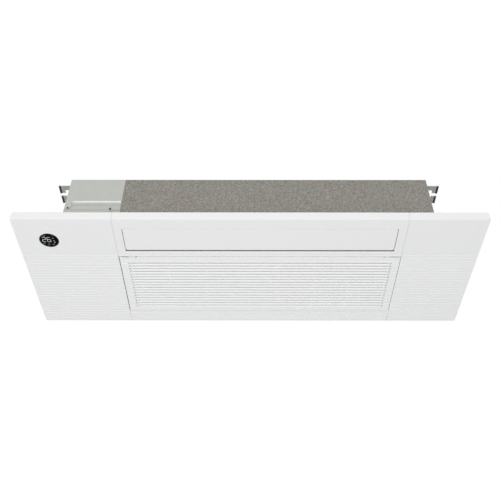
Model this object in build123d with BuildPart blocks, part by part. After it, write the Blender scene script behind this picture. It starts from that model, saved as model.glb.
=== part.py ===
"""One-way ceiling cassette air conditioner: flat panel, recessed body and everything inside that moves air.

Frame: origin at the centre of the panel's underside, +X along the panel, -Y at the outlet edge, +Z up.
All lengths are millimetres and all angles are degrees.
"""

from build123d import *
import math
import os

os.makedirs("parts", exist_ok=True)

# ---------------------------------------------------------------- driving dimensions: panel
panel_w = 1200.0
panel_d = 418.0
panel_t = 24.0
panel_wall = 3.0
panel_edge_r = 1.5
panel_corner_r = 4.0
left_cover_w = 253.0
right_cover_w = 201.5
seam = 0.5
rail_w = 13.0
rail_inset = 1.4
web_t = 3.5
rim_gap = 0.6

# Grooves and slots share one pitch and one phase over the whole panel.
slot_pitch = 11.23
slot_from = 166.0
slot_count = 17
slot_w = 3.6
slot_slant = 10.0
groove_w = 3.6
groove_floor_w = 2.2
groove_depth = 0.6
groove_margin = 2.5
grooves_before = 3
grooves_after = 5

# Outlet and louver blade
outlet_from = 35.5
outlet_d = 85.0
outlet_left_strip = 21.8
outlet_right_strip = 22.1
collar_wall = 3.5
outlet_far_bevel = 1.6
blade_d = 77.2
blade_gap = 1.1
blade_end_gap = 1.6
blade_lip_t = 2.6
blade_hub_t = 12.0
blade_hub_d = 14.0
blade_shoulder_d = 12.0
blade_shoulder_t = 5.0
blade_corner_r = 7.0
blade_edge_r = 1.1
blade_pivot_from_edge = 3.8
blade_pivot_z = 7.0
blade_pin_r = 2.0
blade_pin_root = 10.0
blade_drive_l = 12.0
louver_motor_w = 14.0
louver_motor_d = 20.0
louver_motor_h = 18.0

# Intake grille
grille_from = 139.3
grille_d = 230.7
grille_gap = 1.2
grille_far_gap = 0.6
grille_left_gap = 1.5
grille_right_gap = 0.7
grille_t = 6.0
slot_left_border = 20.4
slot_right_border = 19.8
slot_end_l = 4.6
slot_bridge_w = 4.4
slot_lead_w = 3.8
slot_lead_h = 1.7
grille_rib_w = 2.0
grille_rib_depth = 2.8
grille_rib_count = 6
hinge_r = 2.2
hinge_pin_r = 1.2
hinge_pocket_w = 4.4
hinge_pocket_d = 5.0
hinge_lug_w = 3.5
hinge_lug_r = 2.0
hinge_left_from = 33.9
hinge_left_knuckle_w = 11.0
hinge_left_notch = (23.7, 7.6, 3.4)
hinge_right_from = 35.4
hinge_right_knuckle_w = 8.0
hinge_right_notch = (5.5, 31.0, 2.0)
running_gap = 0.05
body_gap = 0.3
tab_w = 2.0
tab_d = 6.0
tab_h = 10.0
tab_from_far = 5.0
tab_positions = (-200.0, 250.0)
catch_leaf = 1.2
catch_h = 8.0
catch_base_d = 12.0
catch_base_w = 18.0
catch_base_t = 2.0
catch_from_edge = 1.2

# Filter
filter_t = 6.0
filter_side_margin = 12.0
filter_near_margin = 12.0
filter_far_margin = 14.0
filter_border = 8.0
filter_bar_w = 3.0
filter_bar_count = 6
filter_mesh_t = 0.8

# Display
display_r = 25.0
display_from_left = 83.0
display_from_near = 77.0
display_gap = 0.3
display_rim_w = 1.6
display_flange_w = 3.0
display_flange_t = 1.6
display_lens_t = 2.4
display_board_t = 1.6
display_post_r = 2.0
display_post_l = 4.0
display_post_inset = 2.8

# ---------------------------------------------------------------- driving dimensions: body
body_w = 952.4
body_d = 368.0
body_h = 152.0
body_shift = -4.2
sheet = 1.2
felt_t = 4.0
bead_w = 8.0
bead_depth = 0.6
bead_count = 3
left_bay_w = 145.4
right_bay_w = 85.0

# Cross-flow fan
fan_r = 50.0
fan_y = -70.0
fan_z = 110.0
fan_end_gap = 12.0
fan_disc_t = 3.0
fan_ring_count = 4
fan_ring_t = 1.6
fan_ring_w = 13.0
fan_blade_count = 30
fan_blade_t = 1.2
fan_blade_lean = 32.0
fan_blade_belly = 2.4
fan_blade_root = 38.5
fan_hub_r = 10.0
fan_hub_l = 14.0
shaft_r = 4.0
motor_r = 40.0
motor_l = 70.0
motor_gap = 34.0
motor_foot_w = 40.0
motor_foot_d = 50.0
shaft_tail = 5.0
bearing_r = 14.0
bearing_l = 7.0

# Air duct
scroll_gap = 6.0
scroll_wall = 3.0
scroll_start = 40.0
tongue_gap = 6.0
tongue_angle = -70.0
tongue_r = 1.4
base_strip = 16.0

# Left-right vanes: s runs down the duct floor from its tongue, n stands off the floor
vane_count = 7
vane_first_from = 72.0
vane_pitch = 95.0
vane_t = 1.5
vane_pivot_s = 30.0
vane_upper_s = 22.0
vane_lower_s = 50.0
vane_shoulder = (36.0, 44.0)
vane_upper_n = 12.0
vane_foot_gap = 0.5
vane_pin_r = 1.5
vane_boss_l = 6.0
vane_rail_w = 8.0
vane_rail_t = 5.0
link_offset = 14.0
link_n = 10.0
link_t = 3.0
link_w = 3.6
link_pin_r = 1.0
link_window_w = 7.2
link_window_h = 6.0
link_overhang = 4.0
crank_from_wall = 23.0
crank_arm_t = 2.5
crank_arm_w = 7.0
crank_gap = 1.0
crank_shaft_r = 2.0
vane_motor_r = 10.0
vane_motor_n = 14.5
vane_motor_l = 14.0
vane_motor_bracket_t = 3.0
link_slot = (8.4, 5.0)

# Heat exchanger: s runs up the slab from its lower end, n stands off towards the fan
coil_y = 5.0
coil_z = 56.0
coil_angle = 47.6
coil_l = 141.0
coil_t = 26.0
coil_end_gap = 22.0
coil_plate_t = 1.2
coil_plate_margin = 4.0
coil_tab_w = 12.0
tube_r = 3.5
tube_pitch = 21.0
tube_first = 18.0
tube_count = 6
tube_row = 6.5
tube_lead = 2.0
tube_tail = 4.0

# Drain
pan_y = 6.0
pan_d = 60.0
pan_z = 29.0
pan_h = 23.0
pan_wall = 2.0
pan_end_gap = 4.0
pump_from_right = 43.0
pump_r = 18.0
pump_z = 58.0
pump_h = 44.0
pump_wall = 2.5
pump_cavity_h = 12.0
pump_inlet_r = 7.0
pump_inlet_bore = 4.0
pump_inlet_gap = 5.0
impeller_r = 12.5
impeller_hub_r = 4.0
impeller_blade_t = 1.6
impeller_blade_count = 4
impeller_gap = 1.0
impeller_pin_r = 1.5
impeller_pin_l = 8.0
pump_bracket_w = 20.0
pump_bracket_t = 4.0
float_from_wall = 13.0
float_stem_r = 2.0
float_foot_r = 3.5
float_foot_t = 1.5
float_foot_gap = 8.0
float_r = 7.5
float_h = 10.0
float_rest_gap = 2.5
drain_hose_r = 8.0
drain_hose_bore = 6.0
drain_y = 130.0
drain_z = 116.0
drain_rise_y = 75.0
drain_bend_r = 14.0
spigot_r = 13.0
spigot_bore = 11.0
spigot_l = 40.0
spigot_neck_r = 12.4
spigot_neck_l = 2.0

# Refrigerant pipes
gas_r = 6.35
gas_y = 50.0
gas_turn_x = 425.0
gas_bend_r = 14.0
gas_nut_af = 24.0
gas_nut_l = 22.0
gas_thread_r = 7.9
liquid_r = 3.2
liquid_z = 100.0
liquid_turn_x = 455.0
liquid_bend_r = 10.0
liquid_nut_af = 17.0
liquid_nut_l = 18.0
liquid_thread_r = 5.5
pipe_out = 27.0
pipe_hole_gap = 1.5
pipe_window_margin = 12.0

# Electrical box at the left front
box_d = 72.0
box_step_z = 89.5
box_step_d = 3.2
box_flange_w = 15.5
box_bead_z = 76.0
terminal_cover_from = 0.5
terminal_cover_w = 118.0
terminal_cover_z = 30.0
terminal_cover_h = 30.5
terminal_cover_t = 1.0
terminal_tab_w = 10.0
terminal_window_margin = 12.0
board_margin = 14.0
board_t = 1.6
board_standoff = 14.0
board_standoff_r = 3.0
capacitor_r = 11.0
capacitor_h = 34.0
block_w = 90.0
block_d = 25.0
block_h = 20.0
block_from_left = 15.0
block_from_front = 19.0
terminal_count = 6
terminal_r = 3.0
terminal_depth = 5.0
gland_y = -140.0
gland_z = 52.0
gland_r = 12.0
gland_flange_r = 16.0
gland_flange_t = 2.0
gland_bore = 8.0
gland_out = 8.0
gland_in = 6.0

# Hangers
hanger_plate_w = 60.4
hanger_out = 32.8
hanger_t = 2.0
hanger_z = 158.0
hanger_y = 147.0
hanger_back_h = 20.0
hanger_mouth_w = 11.0
hanger_mouth_l = 13.8
hanger_slot_w = 31.0
hanger_slot_r = 4.0
hanger_lip_w = 5.0
hanger_lip_drop = 1.0

# Screws
screw_r = 2.5
screw_head_r = 4.5
screw_head_t = 3.0
screw_end = 4.0
panel_screw_y = 150.0
cover_screw_r = 1.6
cover_screw_head_r = 3.2
cover_screw_head_t = 1.8
cover_screw_l = 5.0
cover_screw_from = 9.0
cover_screw_z = 65.5

# ---------------------------------------------------------------- derived places
near_y = -panel_d / 2
far_y = panel_d / 2
left_x = -panel_w / 2
right_x = panel_w / 2
centre_x0 = left_x + left_cover_w
centre_x1 = right_x - right_cover_w
outlet_y0 = near_y + outlet_from
outlet_y1 = outlet_y0 + outlet_d
outlet_x0 = centre_x0 + outlet_left_strip
outlet_x1 = centre_x1 - outlet_right_strip
blade_y0 = outlet_y0 + blade_gap
blade_y1 = blade_y0 + blade_d
blade_x0 = outlet_x0 + blade_end_gap
blade_x1 = outlet_x1 - blade_end_gap
blade_pivot_y = blade_y1 - blade_pivot_from_edge
grille_y0 = near_y + grille_from
grille_y1 = grille_y0 + grille_d
grille_x0 = centre_x0 + grille_left_gap
grille_x1 = centre_x1 - grille_right_gap
opening_y0 = grille_y0 - grille_gap
opening_y1 = grille_y1 + grille_far_gap
slot_x0 = grille_x0 + slot_left_border
slot_x1 = grille_x1 - slot_right_border
hinge_y = grille_y0 + hinge_r
rail_x0 = centre_x0 - rail_inset - rail_w
rail_x1 = centre_x1 + rail_inset + rail_w
body_x0 = body_shift - body_w / 2
body_x1 = body_shift + body_w / 2
body_y0 = -body_d / 2
body_y1 = body_d / 2
body_z0 = panel_t
body_z1 = panel_t + body_h
deck_z = body_z0 + sheet
roof_z = body_z1 - sheet
front_y = body_y0 + felt_t
wall_left = body_x0 + left_bay_w
wall_right = body_x1 - right_bay_w
fan_x0 = wall_left + fan_end_gap
fan_x1 = wall_right - fan_end_gap
coil_x0 = wall_left + coil_end_gap
coil_x1 = wall_right - coil_end_gap
box_y = body_y0 + box_d
box_front_y = body_y0 + box_step_d
box_top_z = box_step_z + box_step_d
box_flange_x = body_x0 + box_flange_w
cover_x0 = body_x0 + terminal_cover_from
cover_x1 = cover_x0 + terminal_cover_w
cover_y = body_y0 - terminal_cover_t
cover_top_z = terminal_cover_z + terminal_cover_h
pump_x = body_x1 - pump_from_right
float_x = wall_right + sheet + float_from_wall
pan_y0 = pan_y - pan_d / 2
pan_y1 = pan_y + pan_d / 2
tongue_y = fan_y + (fan_r + tongue_gap) * math.cos(math.radians(tongue_angle))
tongue_z = fan_z + (fan_r + tongue_gap) * math.sin(math.radians(tongue_angle))
floor_l = math.hypot(outlet_y1 - tongue_y, deck_z - tongue_z)
floor_s = ((outlet_y1 - tongue_y) / floor_l, (deck_z - tongue_z) / floor_l)
floor_n = (floor_s[1], -floor_s[0])
coil_s = (math.cos(math.radians(coil_angle)), math.sin(math.radians(coil_angle)))
coil_n = (-coil_s[1], coil_s[0])
vane_xs = [wall_left + vane_first_from + vane_pitch * i for i in range(vane_count)]
crank_x = wall_left - sheet - crank_from_wall


# ---------------------------------------------------------------- helpers
def block(x0, x1, y0, y1, z0, z1, mode=Mode.ADD):
    """Adds to the open part, or cuts from it, a box between two opposite corners."""
    with Locations(((x0 + x1) / 2, (y0 + y1) / 2, (z0 + z1) / 2)):
        Box(x1 - x0, y1 - y0, z1 - z0, mode=mode)


def rod(start, end, radius, mode=Mode.ADD):
    """Adds or cuts a round bar from one point to another."""
    direction = Vector(*end) - Vector(*start)
    with Locations(Plane(origin=start, z_dir=direction)):
        Cylinder(radius, direction.length, align=(Align.CENTER, Align.CENTER, Align.MIN), mode=mode)


def prism_x(points, x0, x1, mode=Mode.ADD, corner_r=0.0):
    """Adds or cuts a prism along X from an outline of (y, z) points."""
    with BuildSketch(Plane.YZ.offset(x0)) as outline:
        with BuildLine():
            Polyline(*points, close=True)
        make_face()
        if corner_r:
            fillet(outline.vertices(), corner_r)
    extrude(outline.sketch, amount=x1 - x0, mode=mode)


def floor_point(s, n):
    """The (y, z) place s down the duct floor from its tongue and n off its surface."""
    return (tongue_y + floor_s[0] * s + floor_n[0] * n, tongue_z + floor_s[1] * s + floor_n[1] * n)


def coil_point(s, n):
    """The (y, z) place s up the heat exchanger's middle plane and n off it towards the fan."""
    return (coil_y + coil_s[0] * s + coil_n[0] * n, coil_z + coil_s[1] * s + coil_n[1] * n)


def floor_rod(x, s, n0, n1, radius, mode=Mode.ADD):
    """Adds or cuts a round bar that stands square on the duct floor."""
    rod((x, *floor_point(s, n0)), (x, *floor_point(s, n1)), radius, mode)


def tangent_angle(point, radius):
    """Where a line from a (y, z) point touches a circle about the fan's axis, on the upper front side."""
    offset_y = point[0] - fan_y
    offset_z = point[1] - fan_z
    distance = math.hypot(offset_y, offset_z)
    return math.degrees(math.atan2(offset_z, offset_y) - math.acos(radius / distance)) % 360


def cut_grooves(x0, x1, numbers):
    """Cuts shallow grooves along X into the underside, on the slots' own pitch."""
    for number in numbers:
        middle = near_y + slot_from + slot_pitch * number
        outline = [
            (middle - groove_w / 2, 0),
            (middle + groove_w / 2, 0),
            (middle + groove_floor_w / 2, groove_depth),
            (middle - groove_floor_w / 2, groove_depth),
        ]
        prism_x(outline, x0, x1, Mode.SUBTRACT)


def hinge_pin_ends(middle_x, knuckle):
    """Both ends of a grille hinge pin, which reaches through a knuckle and the lug at each side."""
    reach = knuckle / 2 + body_gap + hinge_lug_w
    return (middle_x - reach, hinge_y, hinge_r), (middle_x + reach, hinge_y, hinge_r)


def save(piece, label):
    """Labels a finished piece and writes its file."""
    piece.part.label = label
    export_step(piece.part, f"parts/{label}.step")


all_grooves = range(-grooves_before, slot_count + grooves_after)
grille_near_grooves = range(-grooves_before + 1, 0)
grille_far_grooves = range(slot_count, slot_count + 1)
mid_strip_grooves = range(-grooves_before, -grooves_before + 1)
far_strip_grooves = range(slot_count + 2, slot_count + grooves_after)

# Hinges of the grille: middle of the knuckle, its width, and the notches' left and right length and depth
hinges = [
    (grille_x0 + hinge_left_from, hinge_left_knuckle_w, hinge_left_notch),
    (grille_x1 - hinge_right_from, hinge_right_knuckle_w, hinge_right_notch),
]


# ---------------------------------------------------------------- panel
with BuildPart() as panel_frame:
    face_x0 = centre_x0 + seam / 2
    face_x1 = centre_x1 - seam / 2
    block(face_x0, face_x1, near_y, far_y, 0, panel_wall)
    block(face_x0, face_x1, near_y, near_y + panel_wall, 0, panel_t)
    block(face_x0, face_x1, far_y - panel_wall, far_y, 0, panel_t)
    outer_edges = panel_frame.edges().filter_by(Axis.X).group_by(Axis.Z)[0].sort_by(Axis.Y)
    fillet([outer_edges[0], outer_edges[-1]], panel_edge_r)
    block(
        outlet_x0 - collar_wall,
        outlet_x1 + collar_wall,
        outlet_y0 - collar_wall,
        outlet_y1 + collar_wall,
        0,
        panel_t,
    )
    block(outlet_x0, outlet_x1, outlet_y0, outlet_y1, 0, panel_t, Mode.SUBTRACT)
    far_bevel = [(outlet_y1, 0), (outlet_y1 + outlet_far_bevel, 0), (outlet_y1, outlet_far_bevel)]
    prism_x(far_bevel, outlet_x0, outlet_x1, Mode.SUBTRACT)
    block(face_x0, face_x1, opening_y0, opening_y1, 0, panel_wall, Mode.SUBTRACT)
    inner_near = near_y + panel_wall + rim_gap
    inner_far = far_y - panel_wall - rim_gap
    block(rail_x0, rail_x0 + rail_w, inner_near, inner_far, panel_wall, panel_t)
    block(rail_x1 - rail_w, rail_x1, inner_near, inner_far, panel_wall, panel_t)
    web_top = panel_wall + web_t
    block(rail_x0, rail_x1, inner_near, outlet_y0 - collar_wall, panel_wall, web_top)
    block(rail_x0, rail_x1, outlet_y1 + collar_wall, opening_y0, panel_wall, web_top)
    block(rail_x0, rail_x1, opening_y1, inner_far, panel_wall, web_top)
    for hinge_x, knuckle_w, notch in hinges:
        for side in (-1, 1):
            lug_x = hinge_x + side * (knuckle_w / 2 + body_gap + hinge_lug_w / 2)
            block(
                lug_x - hinge_lug_w / 2,
                lug_x + hinge_lug_w / 2,
                opening_y0 - panel_wall,
                hinge_y,
                hinge_r - hinge_lug_r,
                hinge_r + hinge_lug_r,
            )
            lug_end = lug_x + hinge_lug_w / 2
            rod((lug_x - hinge_lug_w / 2, hinge_y, hinge_r), (lug_end, hinge_y, hinge_r), hinge_lug_r)
        pin_ends = hinge_pin_ends(hinge_x, knuckle_w)
        rod(*pin_ends, hinge_pin_r, Mode.SUBTRACT)
    cut_grooves(face_x0, face_x1, mid_strip_grooves)
    cut_grooves(face_x0, face_x1, far_strip_grooves)
    blade_axis = (blade_pivot_y, blade_pivot_z)
    rod(
        (outlet_x0 - collar_wall, *blade_axis),
        (outlet_x1 + collar_wall, *blade_axis),
        blade_pin_r + running_gap,
        Mode.SUBTRACT,
    )
    for x in (rail_x0 + rail_w / 2, rail_x1 - rail_w / 2):
        for y in (-panel_screw_y, panel_screw_y):
            rod((x, y, 0), (x, y, panel_t), screw_r, Mode.SUBTRACT)
            rod((x, y, 0), (x, y, web_top + screw_head_t), screw_head_r, Mode.SUBTRACT)
save(panel_frame, "panel_frame")


def end_cover(inner_x, outer_x):
    """A cover over one end of the panel, open on its inner side."""
    low_x, high_x = sorted((inner_x, outer_x))
    inwards = math.copysign(1, inner_x - outer_x)
    with BuildPart() as cover:
        block(low_x, high_x, near_y, far_y, 0, panel_t)
        upright = cover.edges().filter_by(Axis.Z).filter_by(lambda edge: abs(edge.center().X - outer_x) < 1)
        fillet(upright, panel_corner_r)
        underside = cover.faces().sort_by(Axis.Z)[0].edges()
        fillet(underside.filter_by(lambda edge: abs(edge.center().X - inner_x) > 1), panel_edge_r)
        hollow = sorted((inner_x, outer_x + inwards * panel_wall))
        block(*hollow, near_y + panel_wall, far_y - panel_wall, panel_wall, panel_t, Mode.SUBTRACT)
        grooved = sorted((inner_x, outer_x + inwards * groove_margin))
        cut_grooves(*grooved, all_grooves)
    return cover


left_cover = end_cover(centre_x0 - seam / 2, left_x)
display_x = left_x + display_from_left
display_y = near_y + display_from_near
with BuildPart() as left_cover_with_hole:
    add(left_cover.part)
    rod((display_x, display_y, 0), (display_x, display_y, panel_wall), display_r + display_gap, Mode.SUBTRACT)
save(left_cover_with_hole, "left_cover")

right_cover = end_cover(centre_x1 + seam / 2, right_x)
save(right_cover, "right_cover")


# ---------------------------------------------------------------- display
display_plane = Plane(origin=(display_x, display_y, 0))
with BuildPart(display_plane) as display_bezel:
    bezel_plane = Plane(origin=(display_x, display_y, 0), x_dir=(1, 0, 0), z_dir=(0, -1, 0))
    with BuildSketch(bezel_plane):
        with BuildLine():
            Polyline(
                (display_r - display_rim_w, 0),
                (display_r, 0),
                (display_r, panel_wall),
                (display_r + display_flange_w, panel_wall),
                (display_r + display_flange_w, panel_wall + display_flange_t),
                (display_r - display_rim_w - display_flange_w, panel_wall + display_flange_t),
                (display_r - display_rim_w - display_flange_w, panel_wall),
                (display_r - display_rim_w, panel_wall),
                close=True,
            )
        make_face()
    revolve(axis=Axis((display_x, display_y, 0), (0, 0, 1)))
save(display_bezel, "display_bezel")

with BuildPart() as display_lens:
    with BuildSketch(display_plane.offset(panel_wall - display_lens_t)):
        Circle(display_r - display_rim_w)
    extrude(amount=display_lens_t)
save(display_lens, "display_lens")

with BuildPart() as display_board:
    board_z = panel_wall + display_flange_t + display_post_l
    with BuildSketch(display_plane.offset(board_z)):
        Circle(display_r)
    extrude(amount=display_board_t)
    with BuildSketch(display_plane.offset(board_z - display_post_l)):
        with PolarLocations(display_r - display_post_inset, 3):
            Circle(display_post_r)
    extrude(amount=display_post_l)
save(display_board, "display_board")


# ---------------------------------------------------------------- louver
with BuildPart() as louver_blade:
    outline = [
        (blade_y0, 0),
        (blade_y1, 0),
        (blade_y1, blade_hub_t),
        (blade_y1 - blade_hub_d, blade_hub_t),
        (blade_y1 - blade_hub_d - blade_shoulder_d, blade_shoulder_t),
        (blade_y0, blade_lip_t),
    ]
    prism_x(outline, blade_x0, blade_x1, corner_r=blade_edge_r)
    with BuildSketch() as plan:
        with Locations(((blade_x0 + blade_x1) / 2, (blade_y0 + blade_y1) / 2)):
            Rectangle(blade_x1 - blade_x0, blade_d)
        fillet(plan.vertices().group_by(Axis.Y)[-1], blade_corner_r)
    extrude(amount=blade_hub_t, mode=Mode.INTERSECT)
    drive_end = outlet_x0 - collar_wall - blade_drive_l
    idle_end = outlet_x1 + collar_wall
    rod((blade_x0 + blade_pin_root, *blade_axis), (drive_end, *blade_axis), blade_pin_r)
    rod((blade_x1 - blade_pin_root, *blade_axis), (idle_end, *blade_axis), blade_pin_r)
save(louver_blade, "louver_blade")

with BuildPart() as louver_motor:
    motor_x1 = outlet_x0 - collar_wall
    block(
        motor_x1 - louver_motor_w,
        motor_x1,
        blade_pivot_y - louver_motor_d / 2,
        blade_pivot_y + louver_motor_d / 2,
        panel_wall,
        panel_wall + louver_motor_h,
    )
    fillet(louver_motor.edges().filter_by(Axis.X), 2 * hinge_pin_r)
    rod((drive_end, *blade_axis), (motor_x1, *blade_axis), blade_pin_r + running_gap, Mode.SUBTRACT)
save(louver_motor, "louver_motor")


# ---------------------------------------------------------------- intake grille and filter
with BuildPart() as intake_grille:
    with BuildSketch(Plane.YZ.offset(grille_x0)) as section:
        with BuildLine():
            Polyline((grille_y0, 0), (grille_y1, 0), (grille_y1, grille_t), (grille_y0, grille_t), close=True)
        make_face()
        fillet(section.vertices().sort_by(Axis.X)[:2].sort_by(Axis.Y)[0], hinge_r)
    extrude(amount=grille_x1 - grille_x0)
    slant = grille_t * math.tan(math.radians(slot_slant))
    bridge_x0 = slot_x0 + slot_end_l
    bridge_x1 = slot_x1 - slot_end_l
    long_x0 = bridge_x0 + slot_bridge_w
    long_x1 = bridge_x1 - slot_bridge_w
    for number in range(slot_count):
        middle = near_y + slot_from + slot_pitch * number
        opening = [
            (middle - slot_w / 2, 0),
            (middle + slot_w / 2, 0),
            (middle + slot_w / 2 + slant, grille_t),
            (middle - slot_w / 2 + slant, grille_t),
        ]
        for cut_x0, cut_x1 in ((slot_x0, bridge_x0), (long_x0, long_x1), (bridge_x1, slot_x1)):
            prism_x(opening, cut_x0, cut_x1, Mode.SUBTRACT)
        lead_in = [
            (middle, 0),
            (middle + slot_w / 2 + slot_lead_w, 0),
            (middle + slot_w / 2 + slant * slot_lead_h / grille_t, slot_lead_h),
            (middle, slot_lead_h),
        ]
        prism_x(lead_in, long_x0, long_x1, Mode.SUBTRACT)
    for number in range(grille_rib_count):
        rib_x = long_x0 + (long_x1 - long_x0) * (number + 1) / (grille_rib_count + 1)
        block(
            rib_x - grille_rib_w / 2,
            rib_x + grille_rib_w / 2,
            near_y + slot_from - slot_w,
            near_y + slot_from + slot_pitch * (slot_count - 1) + slot_w + slant,
            grille_rib_depth,
            grille_t,
        )
    cut_grooves(grille_x0, grille_x1, grille_near_grooves)
    cut_grooves(grille_x0, grille_x1, grille_far_grooves)
    cut_grooves(grille_x0, slot_x0 - groove_margin, range(slot_count))
    cut_grooves(slot_x1 + groove_margin, grille_x1, range(slot_count))
    for hinge_x, knuckle_w, notch in hinges:
        knuckle_x0 = hinge_x - knuckle_w / 2
        knuckle_x1 = hinge_x + knuckle_w / 2
        cuts = (
            (knuckle_x0 - notch[0], knuckle_x0, notch[2]),
            (knuckle_x1, knuckle_x1 + notch[1], notch[2]),
            (knuckle_x0 - hinge_pocket_w, knuckle_x0, hinge_pocket_d),
            (knuckle_x1, knuckle_x1 + hinge_pocket_w, hinge_pocket_d),
        )
        for cut_x0, cut_x1, depth in cuts:
            block(cut_x0, cut_x1, grille_y0, grille_y0 + depth, 0, grille_t, Mode.SUBTRACT)
        rod(
            (knuckle_x0, hinge_y, hinge_r),
            (knuckle_x1, hinge_y, hinge_r),
            hinge_pin_r + running_gap,
            Mode.SUBTRACT,
        )
    tab_y1 = grille_y1 - tab_from_far
    for tab_x in tab_positions:
        block(tab_x - tab_w / 2, tab_x + tab_w / 2, tab_y1 - tab_d, tab_y1, grille_t, grille_t + tab_h)
save(intake_grille, "intake_grille")

with BuildPart() as grille_pins:
    for hinge_x, knuckle_w, notch in hinges:
        rod(*hinge_pin_ends(hinge_x, knuckle_w), hinge_pin_r)
save(grille_pins, "grille_pins")

with BuildPart() as grille_catches:
    for tab_x in tab_positions:
        base_y0 = opening_y1 + catch_from_edge
        block(
            tab_x - catch_base_w / 2,
            tab_x + catch_base_w / 2,
            base_y0,
            base_y0 + catch_base_d,
            web_top,
            web_top + catch_base_t,
        )
        leaf_z = grille_t + tab_h - catch_h
        block(
            tab_x - catch_base_w / 2,
            tab_x + catch_base_w / 2,
            base_y0,
            base_y0 + catch_leaf,
            web_top,
            leaf_z + catch_h,
        )
        for side in (-1, 1):
            leaf_x = sorted((side * (tab_w / 2 + running_gap), side * (tab_w / 2 + running_gap + catch_leaf)))
            block(tab_x + leaf_x[0], tab_x + leaf_x[1], tab_y1 - tab_d, base_y0, leaf_z, leaf_z + catch_h)
save(grille_catches, "grille_catches")

filter_x0 = grille_x0 + filter_side_margin
filter_x1 = grille_x1 - filter_side_margin
filter_y0 = grille_y0 + filter_near_margin
filter_y1 = grille_y1 - filter_far_margin
filter_z0 = grille_t + body_gap
with BuildPart() as filter_frame:
    block(filter_x0, filter_x1, filter_y0, filter_y1, filter_z0, filter_z0 + filter_t)
    fillet(filter_frame.edges().filter_by(Axis.Z), filter_border / 2)
    inner_x0 = filter_x0 + filter_border
    inner_x1 = filter_x1 - filter_border
    inner_y0 = filter_y0 + filter_border
    inner_y1 = filter_y1 - filter_border
    block(inner_x0, inner_x1, inner_y0, inner_y1, filter_z0, filter_z0 + filter_t, Mode.SUBTRACT)
    mesh_top = filter_z0 + filter_mesh_t
    for number in range(filter_bar_count):
        bar_x = inner_x0 + (inner_x1 - inner_x0) * (number + 1) / (filter_bar_count + 1)
        block(
            bar_x - filter_bar_w / 2,
            bar_x + filter_bar_w / 2,
            inner_y0,
            inner_y1,
            mesh_top,
            filter_z0 + filter_t,
        )
    bar_y = (inner_y0 + inner_y1) / 2
    half_bar = filter_bar_w / 2
    block(inner_x0, inner_x1, bar_y - half_bar, bar_y + half_bar, mesh_top, filter_z0 + filter_t)
save(filter_frame, "filter_frame")

with BuildPart() as filter_mesh:
    block(inner_x0, inner_x1, inner_y0, inner_y1, filter_z0, mesh_top)
save(filter_mesh, "filter_mesh")


# ---------------------------------------------------------------- cross-flow fan
fan_axis = (fan_y, fan_z)
with BuildSketch() as fan_blade:
    with BuildLine():
        blade_mid_r = (fan_blade_root + fan_r - fan_blade_t) / 2
        blade_lean = (fan_r - fan_blade_root) * math.tan(math.radians(fan_blade_lean))
        back = ThreePointArc(
            (fan_blade_root, 0),
            (blade_mid_r, blade_lean / 2 - fan_blade_belly),
            (fan_r - fan_blade_t, blade_lean),
        )
        front = ThreePointArc(
            (fan_blade_root, fan_blade_t),
            (blade_mid_r, blade_lean / 2 - fan_blade_belly + fan_blade_t),
            (fan_r - fan_blade_t, blade_lean + fan_blade_t),
        )
        Line(back @ 0, front @ 0)
        Line(back @ 1, front @ 1)
    make_face()

with BuildPart() as fan_rotor:
    with BuildSketch(Plane.YZ.offset(fan_x0)):
        with Locations(fan_axis):
            with PolarLocations(0, fan_blade_count):
                add(fan_blade.sketch)
    extrude(amount=fan_x1 - fan_x0)
    for number in range(fan_ring_count):
        ring_x = fan_x0 + (fan_x1 - fan_x0) * (number + 1) / (fan_ring_count + 1)
        with BuildSketch(Plane.YZ.offset(ring_x - fan_ring_t / 2)):
            with Locations(fan_axis):
                Circle(fan_r)
                Circle(fan_r - fan_ring_w, mode=Mode.SUBTRACT)
        extrude(amount=fan_ring_t)
    for disc_x, hub_x in ((fan_x0, fan_x0), (fan_x1 - fan_disc_t, fan_x1 - fan_hub_l)):
        with BuildSketch(Plane.YZ.offset(disc_x)):
            with Locations(fan_axis):
                Circle(fan_r)
        extrude(amount=fan_disc_t)
        with BuildSketch(Plane.YZ.offset(hub_x)):
            with Locations(fan_axis):
                Circle(fan_hub_r)
        extrude(amount=fan_hub_l)
    rod((fan_x0, *fan_axis), (fan_x0 + fan_hub_l, *fan_axis), shaft_r, Mode.SUBTRACT)
    rod((fan_x1 - fan_hub_l, *fan_axis), (fan_x1, *fan_axis), shaft_r, Mode.SUBTRACT)
save(fan_rotor, "fan_rotor")

motor_x1 = wall_left - sheet - motor_gap
motor_x0 = motor_x1 - motor_l
with BuildPart() as fan_shafts:
    rod((motor_x0 - shaft_tail, *fan_axis), (fan_x0 + fan_hub_l, *fan_axis), shaft_r)
    rod((fan_x1 - fan_hub_l, *fan_axis), (wall_right + bearing_l, *fan_axis), shaft_r)
save(fan_shafts, "fan_shafts")

with BuildPart() as fan_motor:
    rod((motor_x0, *fan_axis), (motor_x1, *fan_axis), motor_r)
    fillet(fan_motor.edges().filter_by(GeomType.CIRCLE), shaft_r)
    foot_x0 = (motor_x0 + motor_x1 - motor_foot_w) / 2
    block(
        foot_x0,
        foot_x0 + motor_foot_w,
        fan_y - motor_foot_d / 2,
        fan_y + motor_foot_d / 2,
        deck_z,
        fan_z - motor_r / 2,
    )
    rod((motor_x0, *fan_axis), (motor_x1, *fan_axis), shaft_r + running_gap, Mode.SUBTRACT)
save(fan_motor, "fan_motor")

with BuildPart() as fan_bearing:
    bearing_ends = ((wall_right - bearing_l / 2, *fan_axis), (wall_right + bearing_l, *fan_axis))
    rod(*bearing_ends, bearing_r)
    rod(*bearing_ends, shaft_r + running_gap, Mode.SUBTRACT)
save(fan_bearing, "fan_bearing")


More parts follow.
